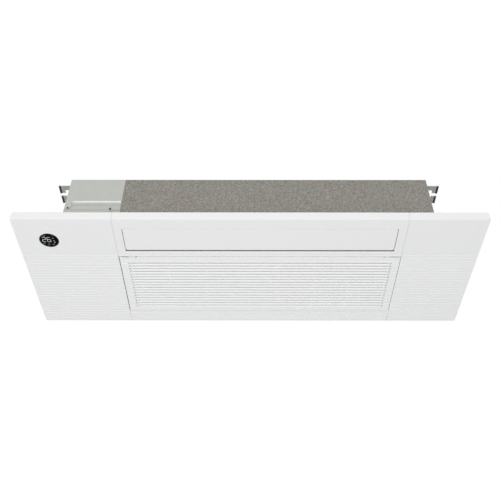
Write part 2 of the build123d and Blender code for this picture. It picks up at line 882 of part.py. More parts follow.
# ---------------------------------------------------------------- air duct
with BuildPart() as fan_scroll:
    scroll_r = fan_r + scroll_gap
    inner_foot = (outlet_y0, deck_z)
    outer_foot = (outlet_y0 - scroll_wall, deck_z)
    inner_end = tangent_angle(inner_foot, scroll_r)
    outer_end = tangent_angle(outer_foot, scroll_r + scroll_wall)
    with BuildSketch(Plane.YZ.offset(wall_left)):
        with BuildLine():
            inner_arc = CenterArc(fan_axis, scroll_r, scroll_start, inner_end - scroll_start)
            Line(inner_arc @ 1, inner_foot)
            Line(inner_foot, outer_foot)
            outer_arc = CenterArc(fan_axis, scroll_r + scroll_wall, scroll_start, outer_end - scroll_start)
            Line(outer_foot, outer_arc @ 1)
            Line(inner_arc @ 0, outer_arc @ 0)
        make_face()
    extrude(amount=wall_right - wall_left)
save(fan_scroll, "fan_scroll")

with BuildPart() as duct_floor:
    floor_foot = scroll_wall / abs(floor_s[1])
    outline = [
        floor_point(0, 0),
        (outlet_y1, deck_z),
        (outlet_y1 + floor_foot, deck_z),
        floor_point(0, -scroll_wall),
    ]
    prism_x(outline, wall_left, wall_right)
    nose = duct_floor.edges().filter_by(Axis.X).sort_by(Axis.Z)[-2:]
    fillet(nose, tongue_r)
save(duct_floor, "duct_floor")

with BuildPart() as vane_rail:
    outline = [
        floor_point(vane_pivot_s - vane_rail_w / 2, 0),
        floor_point(vane_pivot_s + vane_rail_w / 2, 0),
        floor_point(vane_pivot_s + vane_rail_w / 2, vane_rail_t),
        floor_point(vane_pivot_s - vane_rail_w / 2, vane_rail_t),
    ]
    prism_x(outline, wall_left, wall_right)
    for vane_x in vane_xs:
        floor_rod(vane_x, vane_pivot_s, 0, vane_rail_t, vane_pin_r + running_gap, Mode.SUBTRACT)
save(vane_rail, "vane_rail")

link_s = vane_pivot_s + link_offset
vane_foot_n = vane_rail_t + vane_foot_gap
for number, vane_x in enumerate(vane_xs, start=1):
    with BuildPart() as vane:
        outline = [
            floor_point(vane_upper_s, vane_foot_n),
            floor_point(vane_lower_s, vane_foot_n),
            floor_point(vane_lower_s, vane_shoulder[1]),
            floor_point(*vane_shoulder),
            floor_point(vane_upper_s, vane_upper_n),
        ]
        prism_x(outline, vane_x - vane_t / 2, vane_x + vane_t / 2)
        window = [
            floor_point(link_s + side_s * link_window_w / 2, link_n + side_n * link_window_h / 2)
            for side_s, side_n in ((-1, -1), (1, -1), (1, 1), (-1, 1))
        ]
        prism_x(window, vane_x - vane_t / 2, vane_x + vane_t / 2, Mode.SUBTRACT)
        pin_reach = link_window_h / 2 + link_pin_r
        floor_rod(vane_x, link_s, link_n - pin_reach, link_n + pin_reach, link_pin_r)
        floor_rod(vane_x, vane_pivot_s, vane_foot_gap, vane_foot_n + vane_boss_l, vane_pin_r)
    save(vane, f"vane_{number}")

with BuildPart() as vane_link:
    outline = [
        floor_point(link_s + side_s * link_w / 2, link_n + side_n * link_t / 2)
        for side_s, side_n in ((-1, -1), (1, -1), (1, 1), (-1, 1))
    ]
    prism_x(outline, crank_x - link_overhang, vane_xs[-1] + link_overhang)
    for hole_x in (crank_x, *vane_xs):
        floor_rod(hole_x, link_s, link_n - link_t, link_n + link_t, link_pin_r + running_gap, Mode.SUBTRACT)
save(vane_link, "vane_link")

with BuildPart() as vane_crank:
    arm_top = link_n - link_t / 2 - crank_gap / 2
    arm_plane = Plane(
        origin=(crank_x, *floor_point(vane_pivot_s + link_offset / 2, arm_top - crank_arm_t)),
        x_dir=(0, *floor_s),
        z_dir=(0, *floor_n),
    )
    with BuildSketch(arm_plane):
        SlotCenterToCenter(link_offset, crank_arm_w)
    extrude(amount=crank_arm_t)
    floor_rod(crank_x, link_s, arm_top, link_n + link_t / 2 + crank_gap, link_pin_r)
    floor_rod(crank_x, vane_pivot_s, arm_top, vane_motor_n + vane_motor_l / 2, crank_shaft_r)
save(vane_crank, "vane_crank")

with BuildPart() as vane_motor:
    floor_rod(crank_x, vane_pivot_s, vane_motor_n, vane_motor_n + vane_motor_l, vane_motor_r)
    bracket = [
        floor_point(vane_pivot_s + side_s * vane_motor_r / 2, vane_motor_n + vane_motor_l / 2 + along)
        for side_s, along in ((-1, 0), (1, 0), (1, vane_motor_bracket_t), (-1, vane_motor_bracket_t))
    ]
    prism_x(bracket, crank_x, wall_left - sheet)
    floor_rod(
        crank_x,
        vane_pivot_s,
        vane_motor_n,
        vane_motor_n + vane_motor_l / 2,
        crank_shaft_r + running_gap,
        Mode.SUBTRACT,
    )
save(vane_motor, "vane_motor")


# ---------------------------------------------------------------- heat exchanger
tube_stations = [tube_first + tube_pitch * i for i in range(tube_count)]
tube_places = [coil_point(s, row) for s in tube_stations for row in (-tube_row, tube_row)]
half_coil = coil_t / 2
with BuildPart() as coil_fins:
    slab = [
        coil_point(0, -half_coil),
        coil_point(coil_l, -half_coil),
        coil_point(coil_l, half_coil),
        coil_point(0, half_coil),
    ]
    prism_x(slab, coil_x0, coil_x1)
    with BuildSketch(Plane.YZ.offset(coil_x0)):
        with Locations(*tube_places):
            Circle(tube_r)
    extrude(amount=coil_x1 - coil_x0, mode=Mode.SUBTRACT)
save(coil_fins, "coil_fins")

with BuildPart() as coil_end_plates:
    reach = half_coil + coil_plate_margin
    plate = [
        coil_point(-coil_plate_margin, -reach),
        coil_point(coil_l, -reach),
        coil_point(coil_l, reach),
        coil_point(-coil_plate_margin, reach),
    ]
    tab_middle = coil_point(coil_l, 0)[0]
    for plate_x in (coil_x0 - coil_plate_t, coil_x1):
        prism_x(plate, plate_x, plate_x + coil_plate_t)
        tab_y0 = tab_middle - coil_tab_w / 2
        tab_z0 = coil_point(coil_l, -reach)[1]
        block(plate_x, plate_x + coil_plate_t, tab_y0, tab_y0 + coil_tab_w, tab_z0, roof_z)
    with BuildSketch(Plane.YZ.offset(coil_x0 - coil_plate_t)):
        with Locations(*tube_places):
            Circle(tube_r)
    extrude(amount=coil_x1 - coil_x0 + 2 * coil_plate_t, mode=Mode.SUBTRACT)
save(coil_end_plates, "coil_end_plates")

bend_r = tube_pitch / 2
run_x0 = coil_x0 - coil_plate_t - tube_lead
run_x1 = coil_x1 + coil_plate_t + tube_lead
open_x = wall_right - tube_tail
with BuildPart() as coil_tubes:
    for row in (-tube_row, tube_row):
        row_plane = Plane(origin=(0, *coil_point(0, row)), x_dir=(1, 0, 0), z_dir=(0, *coil_n))
        with BuildLine(row_plane) as serpentine:
            here_x = open_x
            for number in reversed(range(tube_count)):
                leftwards = (tube_count - 1 - number) % 2 == 0
                next_x = run_x0 if leftwards else run_x1
                Line((here_x, tube_stations[number]), (next_x, tube_stations[number]))
                if number:
                    bulge_x = next_x + (-bend_r if leftwards else bend_r)
                    ThreePointArc(
                        (next_x, tube_stations[number]),
                        (bulge_x, tube_stations[number] - bend_r),
                        (next_x, tube_stations[number - 1]),
                    )
                here_x = next_x
        start_plane = Plane(origin=(open_x, *coil_point(tube_stations[-1], row)), z_dir=(-1, 0, 0))
        with BuildSketch(start_plane):
            Circle(tube_r)
        sweep(path=serpentine.wires()[0])
    return_plane = Plane(origin=(run_x1, *coil_point(tube_first, 0)), x_dir=(1, 0, 0), z_dir=(0, *coil_s))
    with BuildLine(return_plane) as return_bend:
        ThreePointArc((0, -tube_row), (tube_row, 0), (0, tube_row))
    with BuildSketch(Plane(origin=return_bend.line @ 0, z_dir=(1, 0, 0))):
        Circle(tube_r)
    sweep(path=return_bend.wires()[0])
save(coil_tubes, "coil_tubes")


# ---------------------------------------------------------------- drain
pan_x1 = body_x1 - sheet - pan_end_gap
with BuildPart() as drain_pan:
    block(wall_left, pan_x1, pan_y0, pan_y1, pan_z, pan_z + pan_h)
    fillet(drain_pan.faces().sort_by(Axis.Z)[0].edges().filter_by(Axis.X), 2 * pan_wall)
    block(
        wall_left + pan_wall,
        pan_x1 - pan_wall,
        pan_y0 + pan_wall,
        pan_y1 - pan_wall,
        pan_z + pan_wall,
        pan_z + pan_h,
        Mode.SUBTRACT,
    )
save(drain_pan, "drain_pan")

cavity_z = pump_z + pump_wall
with BuildPart() as drain_pump:
    rod((pump_x, pan_y, pump_z), (pump_x, pan_y, pump_z + pump_h), pump_r)
    rod((pump_x, pan_y, pan_z + pan_wall + pump_inlet_gap), (pump_x, pan_y, pump_z), pump_inlet_r)
    bracket_z = pump_z + pump_h - pump_bracket_t
    block(
        wall_right + sheet,
        pump_x,
        pan_y - pump_bracket_w / 2,
        pan_y + pump_bracket_w / 2,
        bracket_z,
        bracket_z + pump_bracket_t,
    )
    rod((pump_x, pan_y, pan_z), (pump_x, pan_y, cavity_z), pump_inlet_bore, Mode.SUBTRACT)
    pin_z = cavity_z + pump_cavity_h
    pin_top = pin_z + impeller_pin_l
    rod((pump_x, pan_y, cavity_z), (pump_x, pan_y, pin_z), pump_r - pump_wall, Mode.SUBTRACT)
    rod((pump_x, pan_y, pin_z), (pump_x, pan_y, pin_top), impeller_pin_r + running_gap, Mode.SUBTRACT)
    outlet_z = cavity_z + pump_cavity_h / 2
    rod((pump_x, pan_y, outlet_z), (pump_x, pan_y + pump_r, outlet_z), drain_hose_bore / 2, Mode.SUBTRACT)
save(drain_pump, "drain_pump")

with BuildPart() as pump_impeller:
    wheel_z = cavity_z + impeller_gap
    wheel_h = pump_cavity_h - 2 * impeller_gap
    rod((pump_x, pan_y, wheel_z), (pump_x, pan_y, wheel_z + wheel_h), impeller_hub_r)
    rod((pump_x, pan_y, wheel_z), (pump_x, pan_y, pin_top - impeller_gap), impeller_pin_r)
    with Locations((pump_x, pan_y, wheel_z + wheel_h / 2)):
        with PolarLocations(impeller_r / 2, impeller_blade_count):
            Box(impeller_r, impeller_blade_t, wheel_h)
save(pump_impeller, "pump_impeller")

foot_z = pan_z + pan_wall + float_foot_gap
with BuildPart() as float_stem:
    rod((float_x, pan_y, foot_z), (float_x, pan_y, bracket_z), float_stem_r)
    rod((float_x, pan_y, foot_z), (float_x, pan_y, foot_z + float_foot_t), float_foot_r)
save(float_stem, "float_stem")

with BuildPart() as float_ring:
    ring_z = foot_z + float_foot_t + float_rest_gap
    ring_ends = ((float_x, pan_y, ring_z), (float_x, pan_y, ring_z + float_h))
    rod(*ring_ends, float_r)
    fillet(float_ring.edges().filter_by(GeomType.CIRCLE), float_stem_r)
    rod(*ring_ends, float_stem_r + running_gap, Mode.SUBTRACT)
save(float_ring, "float_ring")


def bent_pipe(corners, bend, radius, bore):
    """A pipe through a list of corners, with equal bends and an optional bore."""
    with BuildPart() as pipe:
        with BuildLine() as route:
            FilletPolyline(*corners, radius=bend)
        start = Plane(origin=corners[0], z_dir=route.line % 0)
        with BuildSketch(start):
            Circle(radius)
            if bore:
                Circle(bore, mode=Mode.SUBTRACT)
        sweep(path=route.wires()[0])
    return pipe


drain_route = [
    (pump_x, pan_y + pump_r, outlet_z),
    (pump_x, drain_rise_y, outlet_z),
    (pump_x, drain_rise_y, drain_z),
    (pump_x, drain_y, drain_z),
    (body_x1 - sheet, drain_y, drain_z),
]
drain_hose = bent_pipe(drain_route, drain_bend_r, drain_hose_r, drain_hose_bore)
with BuildPart() as drain_pipe:
    add(drain_hose.part)
    spigot_x0 = body_x1 + spigot_neck_l
    rod(drain_route[-1], (spigot_x0, drain_y, drain_z), spigot_neck_r)
    rod((spigot_x0, drain_y, drain_z), (body_x1 + spigot_l, drain_y, drain_z), spigot_r)
    rod(drain_route[-1], (body_x1, drain_y, drain_z), drain_hose_bore, Mode.SUBTRACT)
    rod((body_x1, drain_y, drain_z), (body_x1 + spigot_l, drain_y, drain_z), spigot_bore, Mode.SUBTRACT)
save(drain_pipe, "drain_pipe")


# ---------------------------------------------------------------- refrigerant pipes
gas_end = coil_point(tube_stations[-1], tube_row)
liquid_end = coil_point(tube_stations[-1], -tube_row)
pipe_x1 = body_x1 + pipe_out
gas_route = [
    (open_x, *gas_end),
    (gas_turn_x, *gas_end),
    (gas_turn_x, gas_y, gas_end[1]),
    (pipe_x1, gas_y, gas_end[1]),
]
gas_pipe = bent_pipe(gas_route, gas_bend_r, gas_r, 0)
save(gas_pipe, "gas_pipe")

liquid_route = [
    (open_x, *liquid_end),
    (liquid_turn_x, *liquid_end),
    (liquid_turn_x, liquid_end[0], liquid_z),
    (pipe_x1, liquid_end[0], liquid_z),
]
liquid_pipe = bent_pipe(liquid_route, liquid_bend_r, liquid_r, 0)
save(liquid_pipe, "liquid_pipe")

with BuildPart() as flare_nuts:
    nuts = (
        (gas_y, gas_end[1], gas_r, gas_nut_af, gas_nut_l, gas_thread_r),
        (liquid_end[0], liquid_z, liquid_r, liquid_nut_af, liquid_nut_l, liquid_thread_r),
    )
    for nut_y, nut_z, pipe_r, across_flats, nut_l, thread_r in nuts:
        nut_plane = Plane(origin=(pipe_x1, nut_y, nut_z), x_dir=(0, 1, 0), z_dir=(1, 0, 0))
        with BuildSketch(nut_plane.offset(-nut_l / 2)):
            RegularPolygon(across_flats / 2, 6, major_radius=False)
        extrude(amount=nut_l)
        rod((pipe_x1 - nut_l, nut_y, nut_z), (pipe_x1, nut_y, nut_z), pipe_r, Mode.SUBTRACT)
        rod((pipe_x1, nut_y, nut_z), (pipe_x1 + nut_l, nut_y, nut_z), thread_r, Mode.SUBTRACT)
save(flare_nuts, "flare_nuts")


# ---------------------------------------------------------------- casing
with BuildPart() as casing_top:
    block(body_x0, body_x1, front_y, body_y1, roof_z, body_z1)
    for number in range(bead_count):
        bead_y = front_y + (body_y1 - front_y) * (number + 1) / (bead_count + 1)
        block(
            wall_left,
            wall_right,
            bead_y - bead_w / 2,
            bead_y + bead_w / 2,
            body_z1 - bead_depth,
            body_z1,
            Mode.SUBTRACT,
        )
save(casing_top, "casing_top")

with BuildPart() as casing_front:
    block(wall_left, body_x1 - sheet, front_y, front_y + sheet, body_z0, roof_z)
save(casing_front, "casing_front")

with BuildPart() as casing_rear:
    block(body_x0 + sheet, body_x1 - sheet, body_y1 - sheet, body_y1, body_z0, roof_z)
    for number in range(bead_count):
        bead_z = body_z0 + body_h * (number + 1) / (bead_count + 1)
        block(
            wall_left,
            wall_right,
            body_y1 - bead_depth,
            body_y1,
            bead_z - bead_w / 2,
            bead_z + bead_w / 2,
            Mode.SUBTRACT,
        )
save(casing_rear, "casing_rear")

with BuildPart() as casing_left:
    block(body_x0, body_x0 + sheet, body_y0 + sheet, body_y1, body_z0, roof_z)
    rod((body_x0, gland_y, gland_z), (body_x0 + sheet, gland_y, gland_z), gland_r, Mode.SUBTRACT)
save(casing_left, "casing_left")

with BuildPart() as casing_right:
    block(body_x1 - sheet, body_x1, front_y, body_y1, body_z0, roof_z)
    right_holes = (
        (gas_y, gas_end[1], gas_r + pipe_hole_gap),
        (liquid_end[0], liquid_z, liquid_r + pipe_hole_gap),
        (drain_y, drain_z, spigot_neck_r),
    )
    for hole_y, hole_z, hole_r in right_holes:
        rod((body_x1 - sheet, hole_y, hole_z), (body_x1, hole_y, hole_z), hole_r, Mode.SUBTRACT)
save(casing_right, "casing_right")

with BuildPart() as casing_base:
    block(body_x0 + sheet, body_x1 - sheet, front_y + sheet, body_y1 - sheet, body_z0, deck_z)
    block(outlet_x0, outlet_x1, outlet_y0, outlet_y1, body_z0, deck_z, Mode.SUBTRACT)
    intake_y0 = outlet_y1 + base_strip
    intake_y1 = grille_y1
    block(wall_left + sheet, wall_right - sheet, intake_y0, intake_y1, body_z0, deck_z, Mode.SUBTRACT)
    for x in (rail_x0 + rail_w / 2, rail_x1 - rail_w / 2):
        for y in (-panel_screw_y, panel_screw_y):
            rod((x, y, body_z0), (x, y, deck_z), screw_r, Mode.SUBTRACT)
save(casing_base, "casing_base")

with BuildPart() as front_insulation:
    block(wall_left, body_x1, body_y0, front_y, body_z0, body_z1)
save(front_insulation, "front_insulation")

with BuildPart() as left_partition:
    block(wall_left - sheet, wall_left, body_y0 + sheet, body_y1 - sheet, deck_z, roof_z)
    rod((wall_left - sheet, *fan_axis), (wall_left, *fan_axis), bearing_r, Mode.SUBTRACT)
    slot = [
        floor_point(link_s + side_s * link_slot[0] / 2, link_n + side_n * link_slot[1] / 2)
        for side_s, side_n in ((-1, -1), (1, -1), (1, 1), (-1, 1))
    ]
    prism_x(slot, wall_left - sheet, wall_left, Mode.SUBTRACT)
save(left_partition, "left_partition")

with BuildPart() as right_partition:
    block(wall_right, wall_right + sheet, front_y + sheet, body_y1 - sheet, deck_z, roof_z)
    rod((wall_right, *fan_axis), (wall_right + sheet, *fan_axis), bearing_r, Mode.SUBTRACT)
    block(
        wall_right,
        wall_right + sheet,
        pan_y0 - body_gap,
        pan_y1 + body_gap,
        pan_z,
        pan_z + pan_h + body_gap,
        Mode.SUBTRACT,
    )
    block(
        wall_right,
        wall_right + sheet,
        gas_end[0] - pipe_window_margin,
        liquid_end[0] + pipe_window_margin,
        liquid_end[1] - pipe_window_margin,
        gas_end[1] + pipe_window_margin,
        Mode.SUBTRACT,
    )
save(right_partition, "right_partition")


# ---------------------------------------------------------------- electrical box
with BuildPart() as control_box:
    inner_left = body_x0 + sheet
    inner_right = wall_left - sheet
    block(inner_left, inner_right, box_y - sheet, box_y, deck_z, roof_z)
    block(inner_left, inner_left + sheet, body_y0 + sheet, box_y, deck_z, box_step_z)
    block(inner_left, inner_right, box_front_y, box_front_y + sheet, deck_z, box_step_z)
    block(
        box_flange_x,
        inner_right,
        box_front_y,
        box_front_y + bead_depth,
        box_bead_z - bead_w / 2,
        box_bead_z + bead_w / 2,
        Mode.SUBTRACT,
    )
    rod((inner_left, gland_y, gland_z), (inner_left + sheet, gland_y, gland_z), gland_r, Mode.SUBTRACT)
    block(
        box_flange_x + terminal_window_margin / 2,
        cover_x1 - terminal_window_margin,
        box_front_y,
        box_front_y + sheet,
        terminal_cover_z + terminal_window_margin / 2,
        cover_top_z - terminal_window_margin,
        Mode.SUBTRACT,
    )
    for screw_x in (cover_x0 + cover_screw_from, cover_x1):
        wall_back = (screw_x, box_front_y + sheet, cover_screw_z)
        rod((screw_x, box_front_y, cover_screw_z), wall_back, cover_screw_r, Mode.SUBTRACT)
save(control_box, "control_box")

with BuildPart() as control_cover:
    block(body_x0, wall_left, body_y0, body_y0 + sheet, box_top_z, body_z1)
    block(body_x0, wall_left, body_y0, front_y, roof_z, body_z1)
    block(body_x0, box_flange_x, body_y0, body_y0 + sheet, deck_z, box_top_z)
    flange_return = [
        (body_y0, deck_z),
        (box_front_y, deck_z),
        (box_front_y, box_step_z),
        (body_y0, box_top_z),
    ]
    prism_x(flange_return, box_flange_x - sheet, box_flange_x)
    joggle = [
        (body_y0, box_top_z),
        (box_front_y, box_step_z),
        (box_front_y + sheet, box_step_z),
        (body_y0 + sheet, box_top_z),
    ]
    prism_x(joggle, box_flange_x - sheet, inner_right)
    flange_screw_x = cover_x0 + cover_screw_from
    rod(
        (flange_screw_x, body_y0, cover_screw_z),
        (flange_screw_x, body_y0 + sheet, cover_screw_z),
        cover_screw_r,
        Mode.SUBTRACT,
    )
save(control_cover, "control_cover")

# The terminal cover's screws: X of the screw and Y of the tab's face under its head
cover_screw_places = (
    (cover_x0 + cover_screw_from, cover_y),
    (cover_x1, box_front_y - terminal_cover_t),
)
with BuildPart() as terminal_cover:
    block(cover_x0, cover_x1, cover_y, body_y0, terminal_cover_z, cover_top_z)
    block(cover_x1 - terminal_cover_t, cover_x1, cover_y, box_front_y, terminal_cover_z, cover_top_z)
    for screw_x, tab_y in cover_screw_places:
        block(
            screw_x - terminal_tab_w / 2,
            screw_x + terminal_tab_w / 2,
            tab_y,
            tab_y + terminal_cover_t,
            cover_top_z - terminal_tab_w,
            cover_screw_z + terminal_tab_w / 2,
        )
        tab_back = (screw_x, tab_y + terminal_cover_t, cover_screw_z)
        rod((screw_x, tab_y, cover_screw_z), tab_back, cover_screw_r, Mode.SUBTRACT)
save(terminal_cover, "terminal_cover")

with BuildPart() as cover_screws:
    for screw_x, tab_y in cover_screw_places:
        head_front = (screw_x, tab_y - cover_screw_head_t, cover_screw_z)
        rod((screw_x, tab_y, cover_screw_z), head_front, cover_screw_head_r)
        rod((screw_x, tab_y, cover_screw_z), (screw_x, tab_y + cover_screw_l, cover_screw_z), cover_screw_r)
save(cover_screws, "cover_screws")

with BuildPart() as control_board:
    board_x0 = inner_left + board_margin
    board_x1 = inner_right - board_margin
    board_z0 = box_step_z - 2 * board_margin
    board_z1 = roof_z - board_margin
    board_back = box_y - sheet - board_standoff
    block(board_x0, board_x1, board_back - board_t, board_back, board_z0, board_z1)
    for x in (board_x0 + board_standoff_r, board_x1 - board_standoff_r):
        for z in (board_z0 + board_standoff_r, board_z1 - board_standoff_r):
            rod((x, board_back, z), (x, box_y - sheet, z), board_standoff_r)
    part_front = board_back - board_t
    capacitor_z = (board_z0 + board_z1) / 2
    for number in range(3):
        capacitor_x = board_x0 + board_margin + number * (2 * capacitor_r + board_margin / 2)
        capacitor_end = (capacitor_x, part_front - capacitor_h, capacitor_z)
        rod((capacitor_x, part_front, capacitor_z), capacitor_end, capacitor_r)
save(control_board, "control_board")

with BuildPart() as terminal_block:
    block_x0 = inner_left + block_from_left
    block_y0 = box_front_y + block_from_front
    block(block_x0, block_x0 + block_w, block_y0, block_y0 + block_d, deck_z, deck_z + block_h)
    for number in range(terminal_count):
        terminal_x = block_x0 + block_w * (number + 0.5) / terminal_count
        terminal_y = block_y0 + block_d / 2
        block_top = deck_z + block_h
        screw_bottom = (terminal_x, terminal_y, block_top - terminal_depth)
        rod((terminal_x, terminal_y, block_top), screw_bottom, terminal_r, Mode.SUBTRACT)
save(terminal_block, "terminal_block")

with BuildPart() as cable_gland:
    gland_x0 = body_x0 - gland_out
    gland_x1 = inner_left + sheet + gland_in
    rod((gland_x0, gland_y, gland_z), (gland_x1, gland_y, gland_z), gland_r)
    rod((body_x0 - gland_flange_t, gland_y, gland_z), (body_x0, gland_y, gland_z), gland_flange_r)
    rod((gland_x0, gland_y, gland_z), (gland_x1, gland_y, gland_z), gland_bore, Mode.SUBTRACT)
save(cable_gland, "cable_gland")


# ---------------------------------------------------------------- hangers and screws
with BuildPart() as hanger_brackets:
    outer_x = body_x0 - hanger_out
    plate_y0 = -hanger_y - hanger_plate_w / 2
    plate_y1 = -hanger_y + hanger_plate_w / 2
    block(outer_x + hanger_lip_w, body_x0, plate_y0, plate_y1, hanger_z, hanger_z + hanger_t)
    hanger_top = hanger_z + hanger_t
    block(body_x0 - hanger_t, body_x0, plate_y0, plate_y1, hanger_top - hanger_back_h, hanger_top)
    for lip_y0, lip_y1 in (
        (plate_y0, -hanger_y - hanger_mouth_w / 2),
        (-hanger_y + hanger_mouth_w / 2, plate_y1),
    ):
        lip_plane = Plane(origin=(outer_x, lip_y0, hanger_top), x_dir=(1, 0, 0), z_dir=(0, 1, 0))
        with BuildSketch(lip_plane):
            with BuildLine():
                Polyline(
                    (0, hanger_lip_drop),
                    (hanger_lip_w, 0),
                    (hanger_lip_w, hanger_t),
                    (0, hanger_lip_drop + hanger_t),
                    close=True,
                )
            make_face()
        extrude(amount=lip_y1 - lip_y0)
    slot_l = hanger_out - hanger_mouth_l - hanger_t
    with BuildSketch(Plane.XY.offset(hanger_z)):
        with Locations((body_x0 - hanger_t - slot_l / 2, -hanger_y)):
            RectangleRounded(slot_l, hanger_slot_w, hanger_slot_r)
        with Locations((outer_x + hanger_mouth_l / 2, -hanger_y)):
            Rectangle(hanger_mouth_l + hanger_slot_r, hanger_mouth_w)
    extrude(amount=hanger_t, mode=Mode.SUBTRACT)
    mirror(about=Plane.XZ)
    mirror(about=Plane.YZ.offset(body_shift))
save(hanger_brackets, "hanger_brackets")

with BuildPart() as panel_screws:
    for x in (rail_x0 + rail_w / 2, rail_x1 - rail_w / 2):
        for y in (-panel_screw_y, panel_screw_y):
            head_z = web_top + screw_head_t
            rod((x, y, head_z), (x, y, deck_z + screw_end), screw_r)
            rod((x, y, head_z - screw_head_t), (x, y, head_z), screw_head_r)
save(panel_screws, "panel_screws")
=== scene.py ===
"""Looks for the one-way ceiling cassette: finishes, finer pieces, a pale studio and the camera.

Lengths are in metres. X runs along the panel, Y from its near edge to its far one, and Z up from
its face.
"""

import math

import bmesh
import bpy
from mathutils import Matrix, Vector


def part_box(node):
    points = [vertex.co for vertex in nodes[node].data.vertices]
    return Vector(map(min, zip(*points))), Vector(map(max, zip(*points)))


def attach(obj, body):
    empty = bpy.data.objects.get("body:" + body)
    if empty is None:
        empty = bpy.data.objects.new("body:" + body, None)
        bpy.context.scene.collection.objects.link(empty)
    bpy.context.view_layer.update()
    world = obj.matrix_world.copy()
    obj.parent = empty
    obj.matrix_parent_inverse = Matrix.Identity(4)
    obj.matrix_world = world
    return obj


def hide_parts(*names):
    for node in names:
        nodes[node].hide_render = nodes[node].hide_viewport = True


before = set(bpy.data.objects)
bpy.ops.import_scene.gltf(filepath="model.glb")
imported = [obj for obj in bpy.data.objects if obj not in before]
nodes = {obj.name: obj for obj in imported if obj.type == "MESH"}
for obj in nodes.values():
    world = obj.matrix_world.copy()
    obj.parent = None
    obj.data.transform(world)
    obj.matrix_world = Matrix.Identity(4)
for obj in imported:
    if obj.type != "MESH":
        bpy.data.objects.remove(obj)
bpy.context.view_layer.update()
scene = bpy.context.scene


# ---------------------------------------------------------------- colours and nodes
def srgb(red, green, blue):
    """A linear colour from one written in 0 to 255."""
    toe, slope, offset, power = 0.04045, 12.92, 0.055, 2.4
    linear = []
    for value in (red, green, blue):
        value /= 255
        curved = ((value + offset) / (1 + offset)) ** power
        linear.append(value / slope if value <= toe else curved)
    return (*linear, 1.0)


def shade(colour, factor):
    """A colour made lighter or darker by a factor."""
    return (*(min(1.0, value * factor) for value in colour[:3]), 1.0)


def feed(tree, socket, value):
    """Links a value to a socket, or sets the socket's own value."""
    if isinstance(value, bpy.types.NodeSocket):
        tree.links.new(value, socket)
    else:
        socket.default_value = value


def add_node(tree, kind, inputs=None, **settings):
    """A new node, with its inputs fed by name or number."""
    node = tree.nodes.new(kind)
    for name, value in settings.items():
        setattr(node, name, value)
    for name, value in (inputs or {}).items():
        feed(tree, node.inputs[name], value)
    return node


class Finish:
    """A node material in object coordinates, in metres, with short calls for its patterns."""

    def __init__(self, name, metal=0.0, coat=0.0, specular=0.5, sheen=0.0):
        self.material = bpy.data.materials.new(name)
        self.material.use_nodes = True
        self.tree = self.material.node_tree
        self.shader = self.tree.nodes["Principled BSDF"]
        self.shader.inputs["Metallic"].default_value = metal
        self.shader.inputs["Specular IOR Level"].default_value = specular
        self.shader.inputs["Coat Weight"].default_value = coat
        self.shader.inputs["Sheen Weight"].default_value = sheen
        self.place = self.tree.nodes.new("ShaderNodeTexCoord").outputs["Object"]
        self.normal = None

    def add(self, kind, inputs=None, **settings):
        """A new node of this material."""
        return add_node(self.tree, kind, inputs, **settings)

    def axes(self):
        """The three object coordinates on their own."""
        outputs = self.add("ShaderNodeSeparateXYZ", {"Vector": self.place}).outputs
        return outputs["X"], outputs["Y"], outputs["Z"]

    def stretched(self, stretch, turn=(0, 0, 0)):
        """The object coordinates, scaled and turned."""
        inputs = {"Vector": self.place, "Scale": stretch, "Rotation": turn}
        return self.add("ShaderNodeMapping", inputs).outputs[0]

    def noise(self, size, detail=3.0, rough=0.55, stretch=(1, 1, 1), distortion=0.0):
        """Soft noise from 0 to 1 whose patches are about size across."""
        inputs = {
            "Vector": self.stretched(stretch),
            "Scale": 1 / size,
            "Detail": detail,
            "Roughness": rough,
            "Distortion": distortion,
        }
        return self.add("ShaderNodeTexNoise", inputs).outputs["Fac"]

    def cells(self, size, output="Distance", feature="F1", spread=1.0):
        """A pattern of irregular cells about size across."""
        inputs = {"Vector": self.stretched((1, 1, 1)), "Scale": 1 / size, "Randomness": spread}
        return self.add("ShaderNodeTexVoronoi", inputs, feature=feature).outputs[output]

    def math(self, operation, first, second=0.0):
        """One operation on two values, or on the first alone."""
        return self.add("ShaderNodeMath", {0: first, 1: second}, operation=operation).outputs[0]

    def product(self, first, *others):
        """Several values multiplied."""
        for other in others:
            first = self.math("MULTIPLY", first, other)
        return first

    def near(self, value, middle, half):
        """1 where a value is less than half away from middle, else 0."""
        away = self.math("ABSOLUTE", self.math("SUBTRACT", value, middle))
        return self.math("LESS_THAN", away, half)

    def levels(self, value, low, high, out_low=0.0, out_high=1.0):
        """A value spread from low and high to out_low and out_high, and held within them."""
        inputs = {
            "Value": value,
            "From Min": low,
            "From Max": high,
            "To Min": out_low,
            "To Max": out_high,
        }
        return self.add("ShaderNodeMapRange", inputs).outputs["Result"]

    def mix(self, share, first, second):
        """A colour between two others."""
        inputs = {0: share, 6: first, 7: second}
        return self.add("ShaderNodeMix", inputs, data_type="RGBA").outputs[2]

    def bump(self, height, depth, strength=1.0):
        """Adds relief of that depth in metres on top of any already there."""
        inputs = {"Height": height, "Distance": depth, "Strength": strength}
        if self.normal:
            inputs["Normal"] = self.normal
        self.normal = self.add("ShaderNodeBump", inputs).outputs["Normal"]

    def done(self, colour, rough):
        """Feeds colour, roughness and relief to the shader."""
        feed(self.tree, self.shader.inputs["Base Color"], colour)
        feed(self.tree, self.shader.inputs["Roughness"], rough)
        if self.normal:
            feed(self.tree, self.shader.inputs["Normal"], self.normal)
        return self.material


